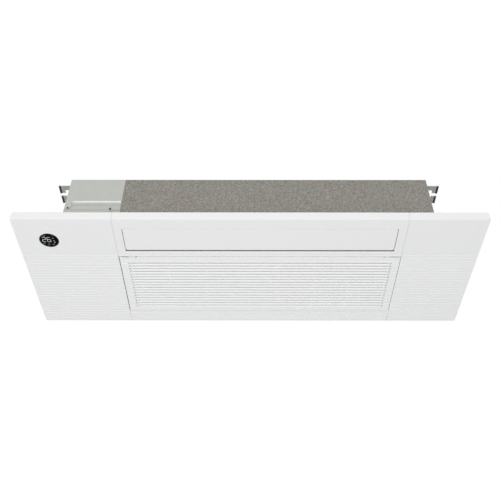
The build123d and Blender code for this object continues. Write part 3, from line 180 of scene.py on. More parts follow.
# ---------------------------------------------------------------- finishes
def slot_lead_ins(finish):
    """1 on the shallow lead-ins of the grille's slots, which take a painted highlight, 0 on its
    face, border and deeper walls.
    """
    border, face_z, lead_z, fade = 0.015, 0.0001, 0.0017, 0.0003
    low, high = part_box("intake_grille")
    x, y, z = finish.axes()
    off_face = finish.levels(z, face_z, face_z + fade)
    shallow = finish.levels(z, lead_z, lead_z + fade, 1.0, 0.0)
    shares = [off_face, shallow]
    for value, start, end in ((x, low.x, high.x), (y, low.y, high.y)):
        shares.append(finish.math("GREATER_THAN", value, start + border))
        shares.append(finish.math("LESS_THAN", value, end - border))
    return finish.product(*shares)


def moulded(
    name, colour, rough=0.45, grain=0.0007, depth=0.00002, uneven=0.02, coat=0.0, lead_in_highlight=None
):
    """Moulded plastic: fine spark-eroded grain, faint flow marks, a slightly uneven gloss and, if
    given, a painted highlight on the grille's slot lead-ins.
    """
    flow_size, wave_size, gloss_size = 0.16, 0.09, 0.03
    finish = Finish(name, coat=coat)
    flow = finish.noise(flow_size, detail=2, stretch=(0.5, 1, 1), distortion=0.4)
    skin = finish.noise(grain, detail=2)
    finish.bump(skin, depth)
    finish.bump(finish.noise(wave_size, detail=1), depth * 6, strength=0.5)
    tone = finish.levels(finish.math("ADD", flow, finish.product(skin, 0.3)), 0.35, 1.0)
    gloss = finish.levels(finish.noise(gloss_size), 0.3, 0.7, rough - 0.05, rough + 0.06)
    colour = finish.mix(tone, shade(colour, 1 - uneven), shade(colour, 1 + uneven))
    if lead_in_highlight:
        # Painted highlight: the slots' lead-ins are coloured a brighter white.
        colour = finish.mix(slot_lead_ins(finish), colour, lead_in_highlight)
    return finish.done(colour, gloss)


def painted_light_and_shade(finish, zinc):
    """Painted highlights on the control box's cover, and painted shade on the brackets and the
    lower zinc, as the photo shows them.
    """
    # Tones for painted highlights on the cover, and for painted shade on the brackets and the lower
    # zinc.
    joggle_highlight_tone, edge_highlight_tone = srgb(198, 200, 196), srgb(214, 216, 211)
    bracket_shade_tone, shadow_tone = srgb(178, 182, 179), srgb(162, 161, 159)
    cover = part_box("control_cover")[0]
    casing_low, casing_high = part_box("casing_top")
    x, y, z = finish.axes()

    # A painted highlight on the joggle between the upper and the lower cover, where it catches the
    # light.
    joggle_z, joggle_half = 0.0911, 0.00159
    flange_w, fade_w = 0.0145, 0.0150
    inside = finish.levels(x, cover.x + flange_w, cover.x + flange_w + fade_w)
    joggle = finish.product(inside, finish.near(z, joggle_z, joggle_half))
    zinc = finish.mix(joggle, zinc, joggle_highlight_tone)

    # A painted highlight also on the lower cover's return edge, just behind the cover's front.
    edge_x, edge_half, edge_depth = cover.x + 0.0155, 0.0006, 0.006
    below = finish.math("LESS_THAN", z, joggle_z - joggle_half)
    in_front = finish.math("LESS_THAN", y, cover.y + edge_depth)
    edge = finish.product(finish.near(x, edge_x, edge_half), below, in_front)
    zinc = finish.mix(edge, zinc, edge_highlight_tone)

    # The brackets stand out past the casing's ends, and painted shade makes them darker.
    clear = 0.0003
    left_out = finish.math("LESS_THAN", x, casing_low.x - clear)
    right_out = finish.math("GREATER_THAN", x, casing_high.x + clear)
    zinc = finish.mix(finish.math("ADD", left_out, right_out), zinc, bracket_shade_tone)

    # A painted shadow line level with the terminal cover's top edge, and slightly darker painted
    # shade on the zinc below it.
    shadow_line_z, shadow_line_half = 0.0613, 0.0018
    shadow_z, shadow_fade, shadow_share = 0.0590, 0.0010, 0.25
    shadow_mask = finish.levels(z, shadow_z, shadow_z + shadow_fade, shadow_share, 0.0)
    shadow_mask = finish.math("MAXIMUM", finish.near(z, shadow_line_z, shadow_line_half), shadow_mask)
    return finish.mix(shadow_mask, zinc, shadow_tone)


def galvanised(name, colour, rough=0.42, spangle=0.010):
    """Zinc-coated sheet: faint crystal spangle, cloudy tone, rolling marks along X, and painted
    highlights and painted shade by place.
    """
    rolling_size, cloud_size, pit_size = 0.002, 0.05, 0.0015
    finish = Finish(name, metal=0.6)
    crystals = finish.cells(spangle, "Color")
    crystal = finish.add("ShaderNodeSeparateColor", {"Color": crystals}).outputs[0]
    rolling = finish.noise(rolling_size, stretch=(0.02, 1, 1))
    cloud = finish.noise(cloud_size, detail=4, rough=0.6)
    finish.bump(rolling, 0.000008)
    finish.bump(finish.noise(pit_size, detail=2), 0.000012, strength=0.6)
    tone = finish.math("ADD", finish.product(crystal, 0.35), finish.product(cloud, 0.9))
    tone = finish.levels(tone, 0.25, 0.95)
    zinc = finish.mix(tone, shade(colour, 0.93), shade(colour, 1.05))
    gloss = finish.math("ADD", crystal, cloud)
    gloss = finish.levels(gloss, 0.4, 1.4, rough - 0.07, rough + 0.09)
    return finish.done(painted_light_and_shade(finish, zinc), gloss)


def brushed(name, colour, rough=0.3, stretch=(0.03, 1, 1), metal=1.0):
    """Drawn or ground metal: fine scratches along one axis and a little tarnish."""
    scratch_size, tarnish_size = 0.0005, 0.012
    finish = Finish(name, metal=metal)
    scratch = finish.noise(scratch_size, stretch=stretch)
    tarnish = finish.noise(tarnish_size, detail=4, rough=0.6)
    finish.bump(scratch, 0.00001)
    gloss = finish.levels(scratch, 0.3, 0.7, rough - 0.06, rough + 0.08)
    tarnish = finish.levels(tarnish, 0.4, 0.75)
    return finish.done(finish.mix(tarnish, shade(colour, 1.04), shade(colour, 0.84)), gloss)


def copper_tube(name):
    """Drawn copper: lengthways scratches with brown and rosy heat tint."""
    scratch_size, tint_size = 0.0006, 0.018
    rosy, brown = srgb(206, 138, 104), srgb(158, 94, 68)
    finish = Finish(name, metal=1.0)
    scratch = finish.noise(scratch_size, stretch=(0.05, 1, 1))
    tint = finish.noise(tint_size, detail=4, rough=0.6)
    finish.bump(scratch, 0.000012)
    colour = finish.mix(finish.levels(tint, 0.35, 0.7), rosy, brown)
    return finish.done(colour, finish.levels(scratch, 0.3, 0.7, 0.24, 0.4))


def felted(name):
    """Pressed recycled fibre: grey-brown with pale flecks, dark threads and a fibrous relief."""
    mottle_size, patch_size, fibre_size = 0.0042, 0.030, 0.0011
    fleck_size, thread_size, fleck_share = 0.0026, 0.0020, 0.45
    warm_tones = srgb(112, 107, 99), srgb(167, 162, 154)
    cool_tones = srgb(111, 110, 103), srgb(165, 164, 157)
    fleck_tone, thread_tone = srgb(182, 170, 160), srgb(88, 84, 78)
    finish = Finish(name, specular=0.2, sheen=0.1)
    mottle = finish.noise(mottle_size, detail=5, rough=0.78, distortion=0.8)
    patch = finish.noise(patch_size, rough=0.6)
    fibre = finish.noise(fibre_size, detail=4, rough=0.7, stretch=(0.35, 1, 1), distortion=1.5)
    spread = finish.levels(mottle, 0.38, 0.62)
    warm, cool = finish.mix(spread, *warm_tones), finish.mix(spread, *cool_tones)
    colour = finish.mix(finish.levels(patch, 0.42, 0.6), warm, cool)
    fleck = finish.levels(finish.noise(fleck_size, detail=2, distortion=2.0), 0.60, 0.72)
    colour = finish.mix(finish.product(fleck, fleck_share), colour, fleck_tone)
    thread = finish.noise(thread_size, detail=1, stretch=(0.25, 1, 1), distortion=3.0)
    thread = finish.levels(thread, 0.64, 0.76)
    colour = finish.mix(finish.product(thread, fleck_share), colour, thread_tone)
    finish.bump(fibre, 0.0005, strength=0.7)
    finish.bump(mottle, 0.0008, strength=0.5)
    return finish.done(colour, finish.levels(fibre, 0.3, 0.7, 0.86, 0.97))


def foamed(name, colour, bead=0.0035):
    """Moulded bead foam: rounded cells pressed together, with darker joints."""
    finish = Finish(name, specular=0.3)
    joint = finish.cells(bead, feature="DISTANCE_TO_EDGE")
    beads = finish.cells(bead, "Color")
    tint = finish.add("ShaderNodeSeparateColor", {"Color": beads}).outputs[0]
    finish.bump(finish.levels(joint, 0.0, 0.25), 0.00025, strength=0.8)
    body = finish.mix(tint, shade(colour, 0.94), shade(colour, 1.06))
    colour = finish.mix(finish.levels(joint, 0.0, 0.08), shade(colour, 0.78), body)
    return finish.done(colour, finish.levels(tint, 0, 1, 0.7, 0.82))


def rubbery(name, colour):
    """Moulded rubber: matt skin with a faint grey bloom."""
    skin_size, bloom_size = 0.0009, 0.02
    finish = Finish(name, specular=0.35)
    skin = finish.noise(skin_size, detail=4, rough=0.65)
    bloom = finish.noise(bloom_size)
    finish.bump(skin, 0.00005)
    colour = finish.mix(finish.levels(bloom, 0.4, 0.7), colour, shade(colour, 1.5))
    return finish.done(colour, finish.levels(skin, 0.3, 0.7, 0.72, 0.85))


def smoked(name):
    """Smoked display window: near black with a wet gloss and the faintest dust."""
    dust_size, cloud_size = 0.0011, 0.02
    glass_tone, dust_tone = srgb(3, 3, 4), srgb(12, 12, 14)
    finish = Finish(name, specular=0.05)
    dust = finish.levels(finish.noise(dust_size), 0.66, 0.8)
    cloud = finish.noise(cloud_size, detail=2)
    finish.bump(cloud, 0.00002, strength=0.3)
    colour = finish.mix(dust, glass_tone, dust_tone)
    return finish.done(colour, finish.levels(cloud, 0.3, 0.7, 0.06, 0.11))


def circuit(name):
    """Solder-masked board: routed copper under green lacquer and small tinned pads."""
    pad_size, gloss_size, tin_tone = 0.0042, 0.01, srgb(176, 178, 172)
    finish = Finish(name, coat=0.4)
    tracks = {
        "Vector": finish.stretched((1, 1, 1), (math.radians(90), 0, 0)),
        "Color1": srgb(28, 92, 58),
        "Color2": srgb(24, 80, 50),
        "Mortar": srgb(60, 128, 82),
        "Scale": 130.0,
        "Mortar Size": 0.012,
        "Brick Width": 1.3,
        "Row Height": 0.32,
    }
    brick = finish.add("ShaderNodeTexBrick", tracks)
    pad = finish.levels(finish.cells(pad_size, spread=0.35), 0.12, 0.2, 1.0, 0.0)
    finish.bump(brick.outputs["Fac"], 0.00006)
    colour = finish.mix(pad, brick.outputs["Color"], tin_tone)
    return finish.done(colour, finish.levels(finish.noise(gloss_size), 0.3, 0.7, 0.3, 0.42))


def netting(name):
    """Knitted filter thread: fine twist along the thread and a little lint."""
    twist_size, lint_size = 0.0006, 0.03
    thread_tone, lint_tone = srgb(96, 101, 108), srgb(132, 134, 136)
    finish = Finish(name, specular=0.3, sheen=0.2)
    twist = finish.noise(twist_size, detail=2)
    lint = finish.noise(lint_size, detail=4, rough=0.65)
    finish.bump(twist, 0.00006)
    colour = finish.mix(finish.levels(lint, 0.4, 0.75), thread_tone, lint_tone)
    return finish.done(colour, finish.levels(twist, 0.3, 0.7, 0.65, 0.8))


def glowing(name, bright, dark, strength):
    """A lit symbol, or an unlit one with a faint painted glow, with a slight haze across it."""
    haze_size, rough = 0.004, 0.4
    finish = Finish(name, specular=0.1)
    haze = finish.levels(finish.noise(haze_size, detail=2), 0.3, 0.7)
    colour = finish.mix(haze, dark, bright)
    feed(finish.tree, finish.shader.inputs["Emission Color"], colour)
    feed(finish.tree, finish.shader.inputs["Emission Strength"], strength)
    return finish.done(colour, rough)


recipes = {
    # The white panel's lead-in colour is a painted highlight on the grille's slots.
    "white_panel": (
        moulded,
        dict(colour=srgb(238, 238, 238), rough=0.42, uneven=0.006, lead_in_highlight=srgb(245, 245, 245)),
    ),
    "white_blade": (
        moulded,
        dict(colour=srgb(239, 238, 239), rough=0.38, uneven=0.006, depth=0.000012),
    ),
    "black_gloss": (moulded, dict(colour=srgb(24, 24, 26), rough=0.2, depth=0.000008, coat=0.6)),
    "black_lens": (smoked, {}),
    "circuit_board": (circuit, {}),
    "zinc_screw": (brushed, dict(colour=srgb(84, 84, 82), rough=0.4, stretch=(1, 1, 0.1))),
    "spring_steel": (brushed, dict(colour=srgb(186, 186, 184), rough=0.28, stretch=(1, 0.05, 1))),
    "filter_plastic": (moulded, dict(colour=srgb(120, 126, 132), rough=0.5)),
    "filter_net": (netting, {}),
    "motor_plastic": (moulded, dict(colour=srgb(226, 225, 218), rough=0.48)),
    "black_plastic": (moulded, dict(colour=srgb(44, 44, 46), rough=0.5, depth=0.00004)),
    "fan_plastic": (
        moulded,
        dict(colour=srgb(78, 80, 84), rough=0.46, depth=0.00004, uneven=0.05),
    ),
    "shaft_steel": (brushed, dict(colour=srgb(190, 190, 188), rough=0.22)),
    "motor_case": (
        moulded,
        dict(colour=srgb(70, 71, 74), rough=0.4, grain=0.0011, depth=0.00008, uneven=0.05),
    ),
    "bearing_rubber": (rubbery, dict(colour=srgb(54, 54, 55))),
    "duct_foam": (foamed, dict(colour=srgb(92, 94, 98))),
    "fin_aluminium": (
        brushed,
        dict(colour=srgb(206, 212, 216), rough=0.34, stretch=(1, 0.06, 0.06), metal=0.9),
    ),
    "copper": (copper_tube, {}),
    "galvanised": (galvanised, dict(colour=srgb(190, 192, 187))),
    "pan_plastic": (foamed, dict(colour=srgb(224, 226, 228), bead=0.003)),
    "pump_plastic": (moulded, dict(colour=srgb(228, 227, 220), rough=0.4)),
    "float_foam": (foamed, dict(colour=srgb(236, 236, 232), bead=0.0016)),
    "drain_plastic": (moulded, dict(colour=srgb(196, 198, 200), rough=0.4, depth=0.00003)),
    "brass_nut": (brushed, dict(colour=srgb(206, 174, 106), rough=0.28, stretch=(1, 0.2, 0.2))),
    "felt": (felted, {}),
    "terminal_plastic": (moulded, dict(colour=srgb(222, 216, 196), rough=0.42, grain=0.0009)),
}
finishes = {name: make(name, **settings) for name, (make, settings) in recipes.items()}
for node in nodes.values():
    for holder in node.material_slots:
        holder.material = finishes[holder.material.name.split(".")[0]]


# ---------------------------------------------------------------- building finer pieces
def piece(name, mesh, slot, body="root", smooth=False, replaces=()):
    """Links a bmesh as a named piece that rides on a body and takes a slot's finish."""
    data = bpy.data.meshes.new(name)
    bmesh.ops.recalc_face_normals(mesh, faces=mesh.faces)
    mesh.to_mesh(data)
    mesh.free()
    for face in data.polygons:
        face.use_smooth = smooth
    made = bpy.data.objects.new(name, data)
    scene.collection.objects.link(made)
    data.materials.append(finishes[slot])
    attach(made, body)
    if replaces:
        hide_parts(*replaces)
    return made


def slab(mesh, corners, offset):
    """A thin solid between a flat outline and the same outline moved by offset."""
    near = [mesh.verts.new(corner) for corner in corners]
    far = [mesh.verts.new(Vector(corner) + Vector(offset)) for corner in corners]
    mesh.faces.new(near)
    mesh.faces.new(list(reversed(far)))
    for number in range(len(near)):
        after = (number + 1) % len(near)
        mesh.faces.new((near[after], near[number], far[number], far[after]))


def strip(mesh, axis, at, ends, heights, thick):
    """An upright strip on the plane where X (axis 0) or Y (axis 1) is at, from end to end."""
    (start, end), (foot, top) = ends, heights
    corners = []
    for along, z in ((start, foot), (end, foot), (end, top), (start, top)):
        corners.append((at, along, z) if axis == 0 else (along, at, z))
    slab(mesh, corners, (thick, 0, 0) if axis == 0 else (0, thick, 0))


def turned(mesh, centre, out, profile, steps=24, ring=False):
    """Turns (radius, rise) points about an axis; in a ring the last one joins the first."""
    out = Vector(out)
    side = out.orthogonal().normalized()
    other = out.cross(side)
    loops = []
    for radius, rise in profile:
        loop = []
        for number in range(steps):
            angle = math.tau * (number + 0.5) / steps
            spoke = side * math.cos(angle) + other * math.sin(angle)
            loop.append(mesh.verts.new(Vector(centre) + spoke * radius + out * rise))
        loops.append(loop)
    pairs = list(zip(loops, loops[1:]))
    if ring:
        pairs.append((loops[-1], loops[0]))
    for lower, upper in pairs:
        for number in range(steps):
            after = (number + 1) % steps
            mesh.faces.new((lower[number], lower[after], upper[after], upper[number]))
    return loops


# ---------------------------------------------------------------- heat exchanger and filter
def coil_fins():
    """Pressed fins across the heat exchanger, with rippled edges as the die leaves them."""
    lean = math.radians(47.6)
    length, depth, start = 0.141, 0.026, Vector((0, 0.005, 0.056))
    ripples, ripple_depth = 20, 0.0006
    pitch, thick = 0.0022, 0.00016
    low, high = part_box("coil_fins")
    along = Vector((0, math.cos(lean), math.sin(lean)))
    across = Vector((0, -math.sin(lean), math.cos(lean)))
    outline = []
    for side in (-1, 1):
        for number in range(ripples + 1):
            step = number if side < 0 else ripples - number
            inset = ripple_depth if number % 2 else 0.0
            rise = along * (length * step / ripples)
            outline.append(start + rise + across * side * (depth / 2 - inset))
    mesh = bmesh.new()
    count = int((high.x - low.x - thick) / pitch)
    for number in range(count + 1):
        x = low.x + number * pitch
        slab(mesh, [(x, point.y, point.z) for point in outline], (thick, 0, 0))
    piece("coil_fin_stack", mesh, "fin_aluminium", replaces=("coil_fins",))


def filter_net():
    """Crossed threads of the washable net, one layer over the other."""
    pitch, thread, raised = 0.0028, 0.00035, 0.00005
    low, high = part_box("filter_mesh")
    mesh = bmesh.new()
    for axis, layer in ((0, 0.0), (1, thread)):
        other = 1 - axis
        z = low.z + raised + layer
        offset = [0, 0, 0]
        offset[axis] = high[axis] - low[axis]
        for number in range(1, int((high[other] - low[other]) / pitch)):
            at = low[other] + number * pitch
            outline = []
            for side, lift in ((-1, 0), (1, 0), (1, thread), (-1, thread)):
                point = [low[axis], low[axis], z + lift]
                point[other] = at + side * thread / 2
                outline.append(point)
            slab(mesh, outline, offset)
    piece("filter_net", mesh, "filter_net", "filter", replaces=("filter_mesh",))


# ---------------------------------------------------------------- display
def stroke(mesh, start, end, width, z, thick):
    """A flat bar with pointed ends, as in a seven-segment figure."""
    start, end = Vector((*start, z)), Vector((*end, z))
    along = (end - start).normalized()
    side = Vector((-along.y, along.x, 0)) * width / 2
    tip = along * width / 2
    outline = [
        start,
        start + tip + side,
        end - tip + side,
        end,
        end - tip - side,
        start + tip - side,
    ]
    slab(mesh, outline, (0, 0, thick))


def figure(mesh, segments, left, top, z, thick):
    """A seven-segment figure, of which the named segments are lit."""
    width, height, bar = 0.0086, 0.0158, 0.0008
    right, middle, bottom = left + width, top + height / 2, top + height
    ends = {
        "a": ((left, top), (right, top)),
        "b": ((right, top), (right, middle)),
        "c": ((right, middle), (right, bottom)),
        "d": ((left, bottom), (right, bottom)),
        "e": ((left, middle), (left, bottom)),
        "f": ((left, top), (left, middle)),
        "g": ((left, middle), (right, middle)),
    }
    for segment in segments:
        stroke(mesh, *ends[segment], bar, z, thick)


def display_figures():
    """Room temperature lit on the window: two figures, a ring for degrees, a dash and an arrow."""
    proud, thick, weld = 0.0001, 0.00015, 0.000001
    two, six = "abged", "acdefg"
    two_x, six_x, top_y = -0.0172, -0.0046, -0.0100
    ring_at, outer, inner, steps = Vector((0.0112, -0.0064, 0)), 0.0015, 0.0011, 12
    dash_at, dash_half, dash_w = Vector((0.0117, 0.0020, 0)), 0.0016, 0.0012
    arrow_at = Vector((0.0129, 0.0084, 0))
    tips = ((-0.0017, -0.0014), (0.0017, -0.0014), (0.0, 0.0016))
    bright, dark, strength = srgb(204, 207, 212), srgb(186, 190, 196), 0.72
    low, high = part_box("display_lens")
    centre = (low + high) / 2
    z = low.z - proud
    mesh = bmesh.new()
    figure(mesh, two, centre.x + two_x, centre.y + top_y, z, thick)
    figure(mesh, six, centre.x + six_x, centre.y + top_y, z, thick)
    ring = centre + ring_at
    for number in range(steps):
        start, end = math.tau * number / steps, math.tau * (number + 1) / steps
        points = []
        for radius, angle in ((outer, start), (outer, end), (inner, end), (inner, start)):
            points.append((ring.x + radius * math.cos(angle), ring.y + radius * math.sin(angle), z))
        slab(mesh, points, (0, 0, thick))
    dash = centre + dash_at
    stroke(mesh, (dash.x - dash_half, dash.y), (dash.x + dash_half, dash.y), dash_w, z, thick)
    arrow = centre + arrow_at
    slab(mesh, [(arrow.x + x, arrow.y + y, z) for x, y in tips], (0, 0, thick))
    bmesh.ops.remove_doubles(mesh, verts=mesh.verts, dist=weld)
    made = piece("display_figures", mesh, "black_lens")
    made.data.materials[0] = glowing("display_light", bright, dark, strength)


def display_windows():
    """Unlit lamp windows round the figures, given a faint painted glow, only just seen through the
    smoked lens.
    """
    proud, thick = 0.00006, 0.0001
    half_w, half_h, steps = 0.0034, 0.0026, 12
    # The unlit windows still emit faintly at this strength: a painted glow.
    dim, strength = 0.6, 0.15
    tints = {
        "olive": (srgb(98, 98, 78), ((-0.0106, -0.0152), (-0.0152, 0.0122), (0.0085, 0.0158))),
        "brown": (srgb(72, 50, 38), ((0.0104, -0.0150),)),
        "mauve": (srgb(92, 78, 90), ((-0.0026, 0.0140), (-0.0040, 0.0178))),
    }
    low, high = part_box("display_lens")
    centre = (low + high) / 2
    z = low.z - proud
    for name, (tint, places) in tints.items():
        mesh = bmesh.new()
        for x, y in places:
            points = []
            for number in range(steps):
                angle = math.tau * number / steps
                point = (x + half_w * math.cos(angle), y + half_h * math.sin(angle))
                points.append((centre.x + point[0], centre.y + point[1], z))
            slab(mesh, points, (0, 0, thick))
        made = piece(f"display_window_{name}", mesh, "black_lens")
        made.data.materials[0] = glowing(f"display_{name}", tint, shade(tint, dim), strength)


# ---------------------------------------------------------------- hangers and cover screws
def lip_shade_strips():
    """Black rubber strips over both prongs of every hanger's slanted lip, as painted shade along
    the lip's outer edge.
    """
    lip_w, lip_drop, lip_t = 0.0050, 0.0010, 0.0020
    mouth_w, prong_l = 0.011, 0.0247
    wall, clear, corner, short = 0.0008, 0.00008, 0.0003, 0.0007
    low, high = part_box("hanger_brackets")
    middle = (low.x + high.x) / 2
    bracket_y = high.y - prong_l - mouth_w / 2
    slope = Vector((lip_w, lip_drop)).normalized()
    across = Vector((-slope.y, slope.x))
    inner = lip_t / 2 * slope.x + clear
    outer = inner + wall
    length = lip_w / slope.x - short
    profile = [
        (length, -outer),
        (-wall + corner, -outer),
        (-wall, -outer + corner),
        (-wall, outer - corner),
        (-wall + corner, outer),
        (length, outer),
        (length, inner),
        (-clear, inner),
        (-clear, -inner),
        (length, -inner),
    ]
    mesh = bmesh.new()
    for side in (-1, 1):
        edge_x = middle + side * (high.x - low.x) / 2
        edge_z = high.z - lip_drop - lip_t / 2
        for bracket in (-1, 1):
            for prong in (-1, 1):
                from_y = bracket * bracket_y + prong * mouth_w / 2
                corners = []
                for along, off in profile:
                    place = slope * along + across * off
                    corners.append(Vector((edge_x - side * place.x, from_y, edge_z + place.y)))
                slab(mesh, corners, (0, prong * prong_l, 0))
    piece("hanger_lip_shade_strips", mesh, "bearing_rubber")


def crossed_screw(mesh, centre, out, radius, height):
    """A domed screw head with a cross recess, facing along out."""
    steps, taper = 16, 0.7
    half, reach, depth = radius * 0.10, radius * 0.48, height * 0.55
    dome = [
        (radius, 0),
        (radius, height * 0.55),
        (radius * 0.86, height * 0.85),
        (radius * 0.62, height),
    ]
    loops = turned(mesh, centre, out, dome, steps)
    mesh.faces.new(list(reversed(loops[0])))
    out = Vector(out)
    side = out.orthogonal().normalized()
    other = out.cross(side)
    corners = []
    for turn in range(4):
        angle = turn * math.pi / 2
        ahead = side * math.cos(angle) + other * math.sin(angle)
        left = out.cross(ahead) * half
        corners += [ahead * half - left, ahead * reach - left, ahead * reach + left]
    top = [mesh.verts.new(Vector(centre) + out * height + corner) for corner in corners]
    floor = Vector(centre) + out * (height - depth)
    foot = [mesh.verts.new(floor + corner * taper) for corner in corners]
    for number in range(len(corners)):
        after = (number + 1) % len(corners)
        mesh.faces.new((top[number], top[after], foot[after], foot[number]))
    mesh.faces.new(list(reversed(foot)))
    edges = []
    for loop in (loops[-1], top):
        for number in range(len(loop)):
            edges.append(mesh.edges.get((loop[number], loop[(number + 1) % len(loop)])))
    bmesh.ops.triangle_fill(mesh, use_beauty=True, use_dissolve=False, edges=edges, normal=out)


def cover_screw_heads():
    """Cross-recessed heads on the two screws of the terminal cover."""
    left_radius, right_radius, height, reach = 0.0023, 0.0030, 0.0018, 0.0032
    joggle_d, seated = 0.0032, 0.00002
    shank_l, shank_r, tip_r, segments = 0.0050, 0.0016, 0.0013, 12
    low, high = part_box("cover_screws")
    middle_z = (low.z + high.z) / 2
    heads = (
        (low.x + reach, low.y + height, left_radius),
        (high.x - reach, low.y + height + joggle_d, right_radius),
    )
    mesh = bmesh.new()
    for x, y, radius in heads:
        centre = Vector((x, y - seated, middle_z))
        crossed_screw(mesh, centre, (0, -1, 0), radius, height)
        shift = Matrix.Translation(centre + Vector((0, shank_l / 2, 0)))
        bmesh.ops.create_cone(
            mesh,
            cap_ends=True,
            segments=segments,
            radius1=shank_r,
            radius2=tip_r,
            depth=shank_l,
            matrix=shift @ Matrix.Rotation(math.radians(-90), 4, "X"),
        )
    piece("cover_screw_heads", mesh, "zinc_screw", replaces=("cover_screws",))


# ---------------------------------------------------------------- linings for painted shade, and seals
def outlet_shade_lining():
    """Grey felt on the outlet's far wall, and rubber on its end walls short of the blade's pins,
    that darken the gaps round the blade as painted shade.
    """
    left_w, right_w, near_d, far_d = 0.02155, 0.02185, 0.0355, 0.1205
    felt_t, felt_foot, lip_t, lip_foot, top = 0.0008, 0.0032, 0.0005, 0.0026, 0.0120
    pin_clear, near_clear = 0.0170, 0.0030
    low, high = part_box("panel_frame")
    x0, x1 = low.x + left_w, high.x - right_w
    near_y, far_y = low.y + near_d, low.y + far_d
    mesh = bmesh.new()
    strip(mesh, 1, far_y, (x0, x1), (felt_foot, top), -felt_t)
    piece("outlet_shade_lining", mesh, "felt")
    mesh = bmesh.new()
    for x, inwards in ((x0, 1), (x1, -1)):
        ends = (near_y + near_clear, far_y - pin_clear)
        strip(mesh, 0, x, ends, (lip_foot, top), inwards * lip_t)
    piece("outlet_end_shade_lips", mesh, "bearing_rubber")


def grille_seal():
    """Thin rubber lips on the panel, in the gaps at the grille's hinged edge and both its ends."""
    gap, lip_h = 0.0012, 0.0010
    hinge_t, hinge_foot = 0.00045, 0.0002
    end_t, end_foot = 0.0003, 0.0003
    low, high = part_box("panel_frame")
    grille_low, grille_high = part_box("intake_grille")
    left_x, right_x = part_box("left_cover")[1].x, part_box("right_cover")[0].x
    mesh = bmesh.new()
    heights = (hinge_foot, hinge_foot + lip_h)
    strip(mesh, 1, grille_low.y - gap, (low.x, high.x), heights, hinge_t)
    heights = (end_foot, end_foot + lip_h)
    for x, inwards in ((left_x, 1), (right_x, -1)):
        strip(mesh, 0, x, (grille_low.y, grille_high.y), heights, inwards * end_t)
    piece("grille_seal", mesh, "bearing_rubber")


# ---------------------------------------------------------------- casing details
def casing_rivets():
    """Blind rivets where the casing's sheets overlap, along the sides and the rear."""
    inset, top_row, low_row, corner_rows = 0.009, 0.168, 0.034, (0.078, 0.122)
    side_gaps, rear_gaps, steps = 5, 8, 14
    radius, height = 0.0024, 0.0010
    dome = [
        (radius, 0),
        (radius, height * 0.3),
        (radius * 0.8, height * 0.8),
        (radius * 0.4, height),
    ]
    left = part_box("casing_left")[0]
    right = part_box("casing_right")[1]
    places = []
    for x, out in ((left.x, (-1, 0, 0)), (right.x, (1, 0, 0))):
        for number in range(side_gaps + 1):
            y = left.y + inset + (right.y - left.y - 2 * inset) * number / side_gaps
            places.append(((x, y, top_row), out))
        for z in (low_row, *corner_rows):
            places.append(((x, right.y - inset, z), out))
    for number in range(rear_gaps + 1):
        x = left.x + inset + (right.x - left.x - 2 * inset) * number / rear_gaps
        for z in (low_row, top_row):
            places.append(((x, right.y, z), (0, 1, 0)))
    mesh = bmesh.new()
    for place, out in places:
        loops = turned(mesh, place, out, dome, steps)
        mesh.faces.new(list(reversed(loops[0])))
        mesh.faces.new(loops[-1])
    piece("casing_rivets", mesh, "galvanised", smooth=True)


def pipe_grommets():
    """Rubber edging in the casing's two pipe holes."""
    wall, lip, collar, steps = 0.0012, 0.0012, 0.0016, 28
    bore_clear, hole_clear, edge = 0.0001, 0.0014, 0.8
    gas_pipe, liquid_pipe = (0.0500, 0.1512, 0.00635), (0.0927, 0.1000, 0.0032)
    outside_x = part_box("casing_right")[1].x
    mesh = bmesh.new()
    for y, z, pipe_r in (gas_pipe, liquid_pipe):
        bore, hole = pipe_r + bore_clear, pipe_r + hole_clear
        profile = [
            (bore, -wall - lip),
            (hole + collar, -wall - lip),
            (hole + collar, -wall),
            (hole, -wall),
            (hole, 0),
            (hole + collar, 0),
            (hole + collar * edge, lip),
            (bore, lip),
        ]
        turned(mesh, (outside_x, y, z), (1, 0, 0), profile, steps, ring=True)
    piece("pipe_grommets", mesh, "bearing_rubber")


def gland_nut():
    """Grip ribs round the cable gland's clamping nut."""
    radius, sunk, count = 0.0120, 0.0002, 18
    rib_h, rib_w, crest = 0.0010, 0.0022, 0.3
    start_x, end_x = 0.0006, 0.0055
    low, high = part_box("cable_gland")
    y, z = (low.y + high.y) / 2, (low.z + high.z) / 2
    start, end = low.x + start_x, low.x + end_x
    mesh = bmesh.new()
    for number in range(count):
        angle = math.tau * number / count
        spoke = Vector((0, math.cos(angle), math.sin(angle)))
        across = Vector((0, -math.sin(angle), math.cos(angle)))
        base = Vector((start, y, z)) + spoke * (radius - sunk)
        top = base + spoke * rib_h
        corners = [
            base - across * rib_w / 2,
            top - across * rib_w * crest,
            top + across * rib_w * crest,
            base + across * rib_w / 2,
        ]
        slab(mesh, corners, (end - start, 0, 0))
    piece("gland_grip_ribs", mesh, "black_plastic")


coil_fins()
filter_net()
display_figures()
display_windows()
lip_shade_strips()
cover_screw_heads()
outlet_shade_lining()
grille_seal()
casing_rivets()
pipe_grommets()
gland_nut()


# ---------------------------------------------------------------- studio
WHITE = (1, 1, 1, 1)


def seen(tree):
    """1 where the camera looks, also by way of metal and glass, and 0 for light on the object."""
    path = add_node(tree, "ShaderNodeLightPath").outputs
    share = path["Is Camera Ray"]
    for name in ("Is Glossy Ray", "Is Transmission Ray"):
        inputs = {0: share, 1: path[name]}
        share = add_node(tree, "ShaderNodeMath", inputs, operation="MAXIMUM").outputs[0]
    return share


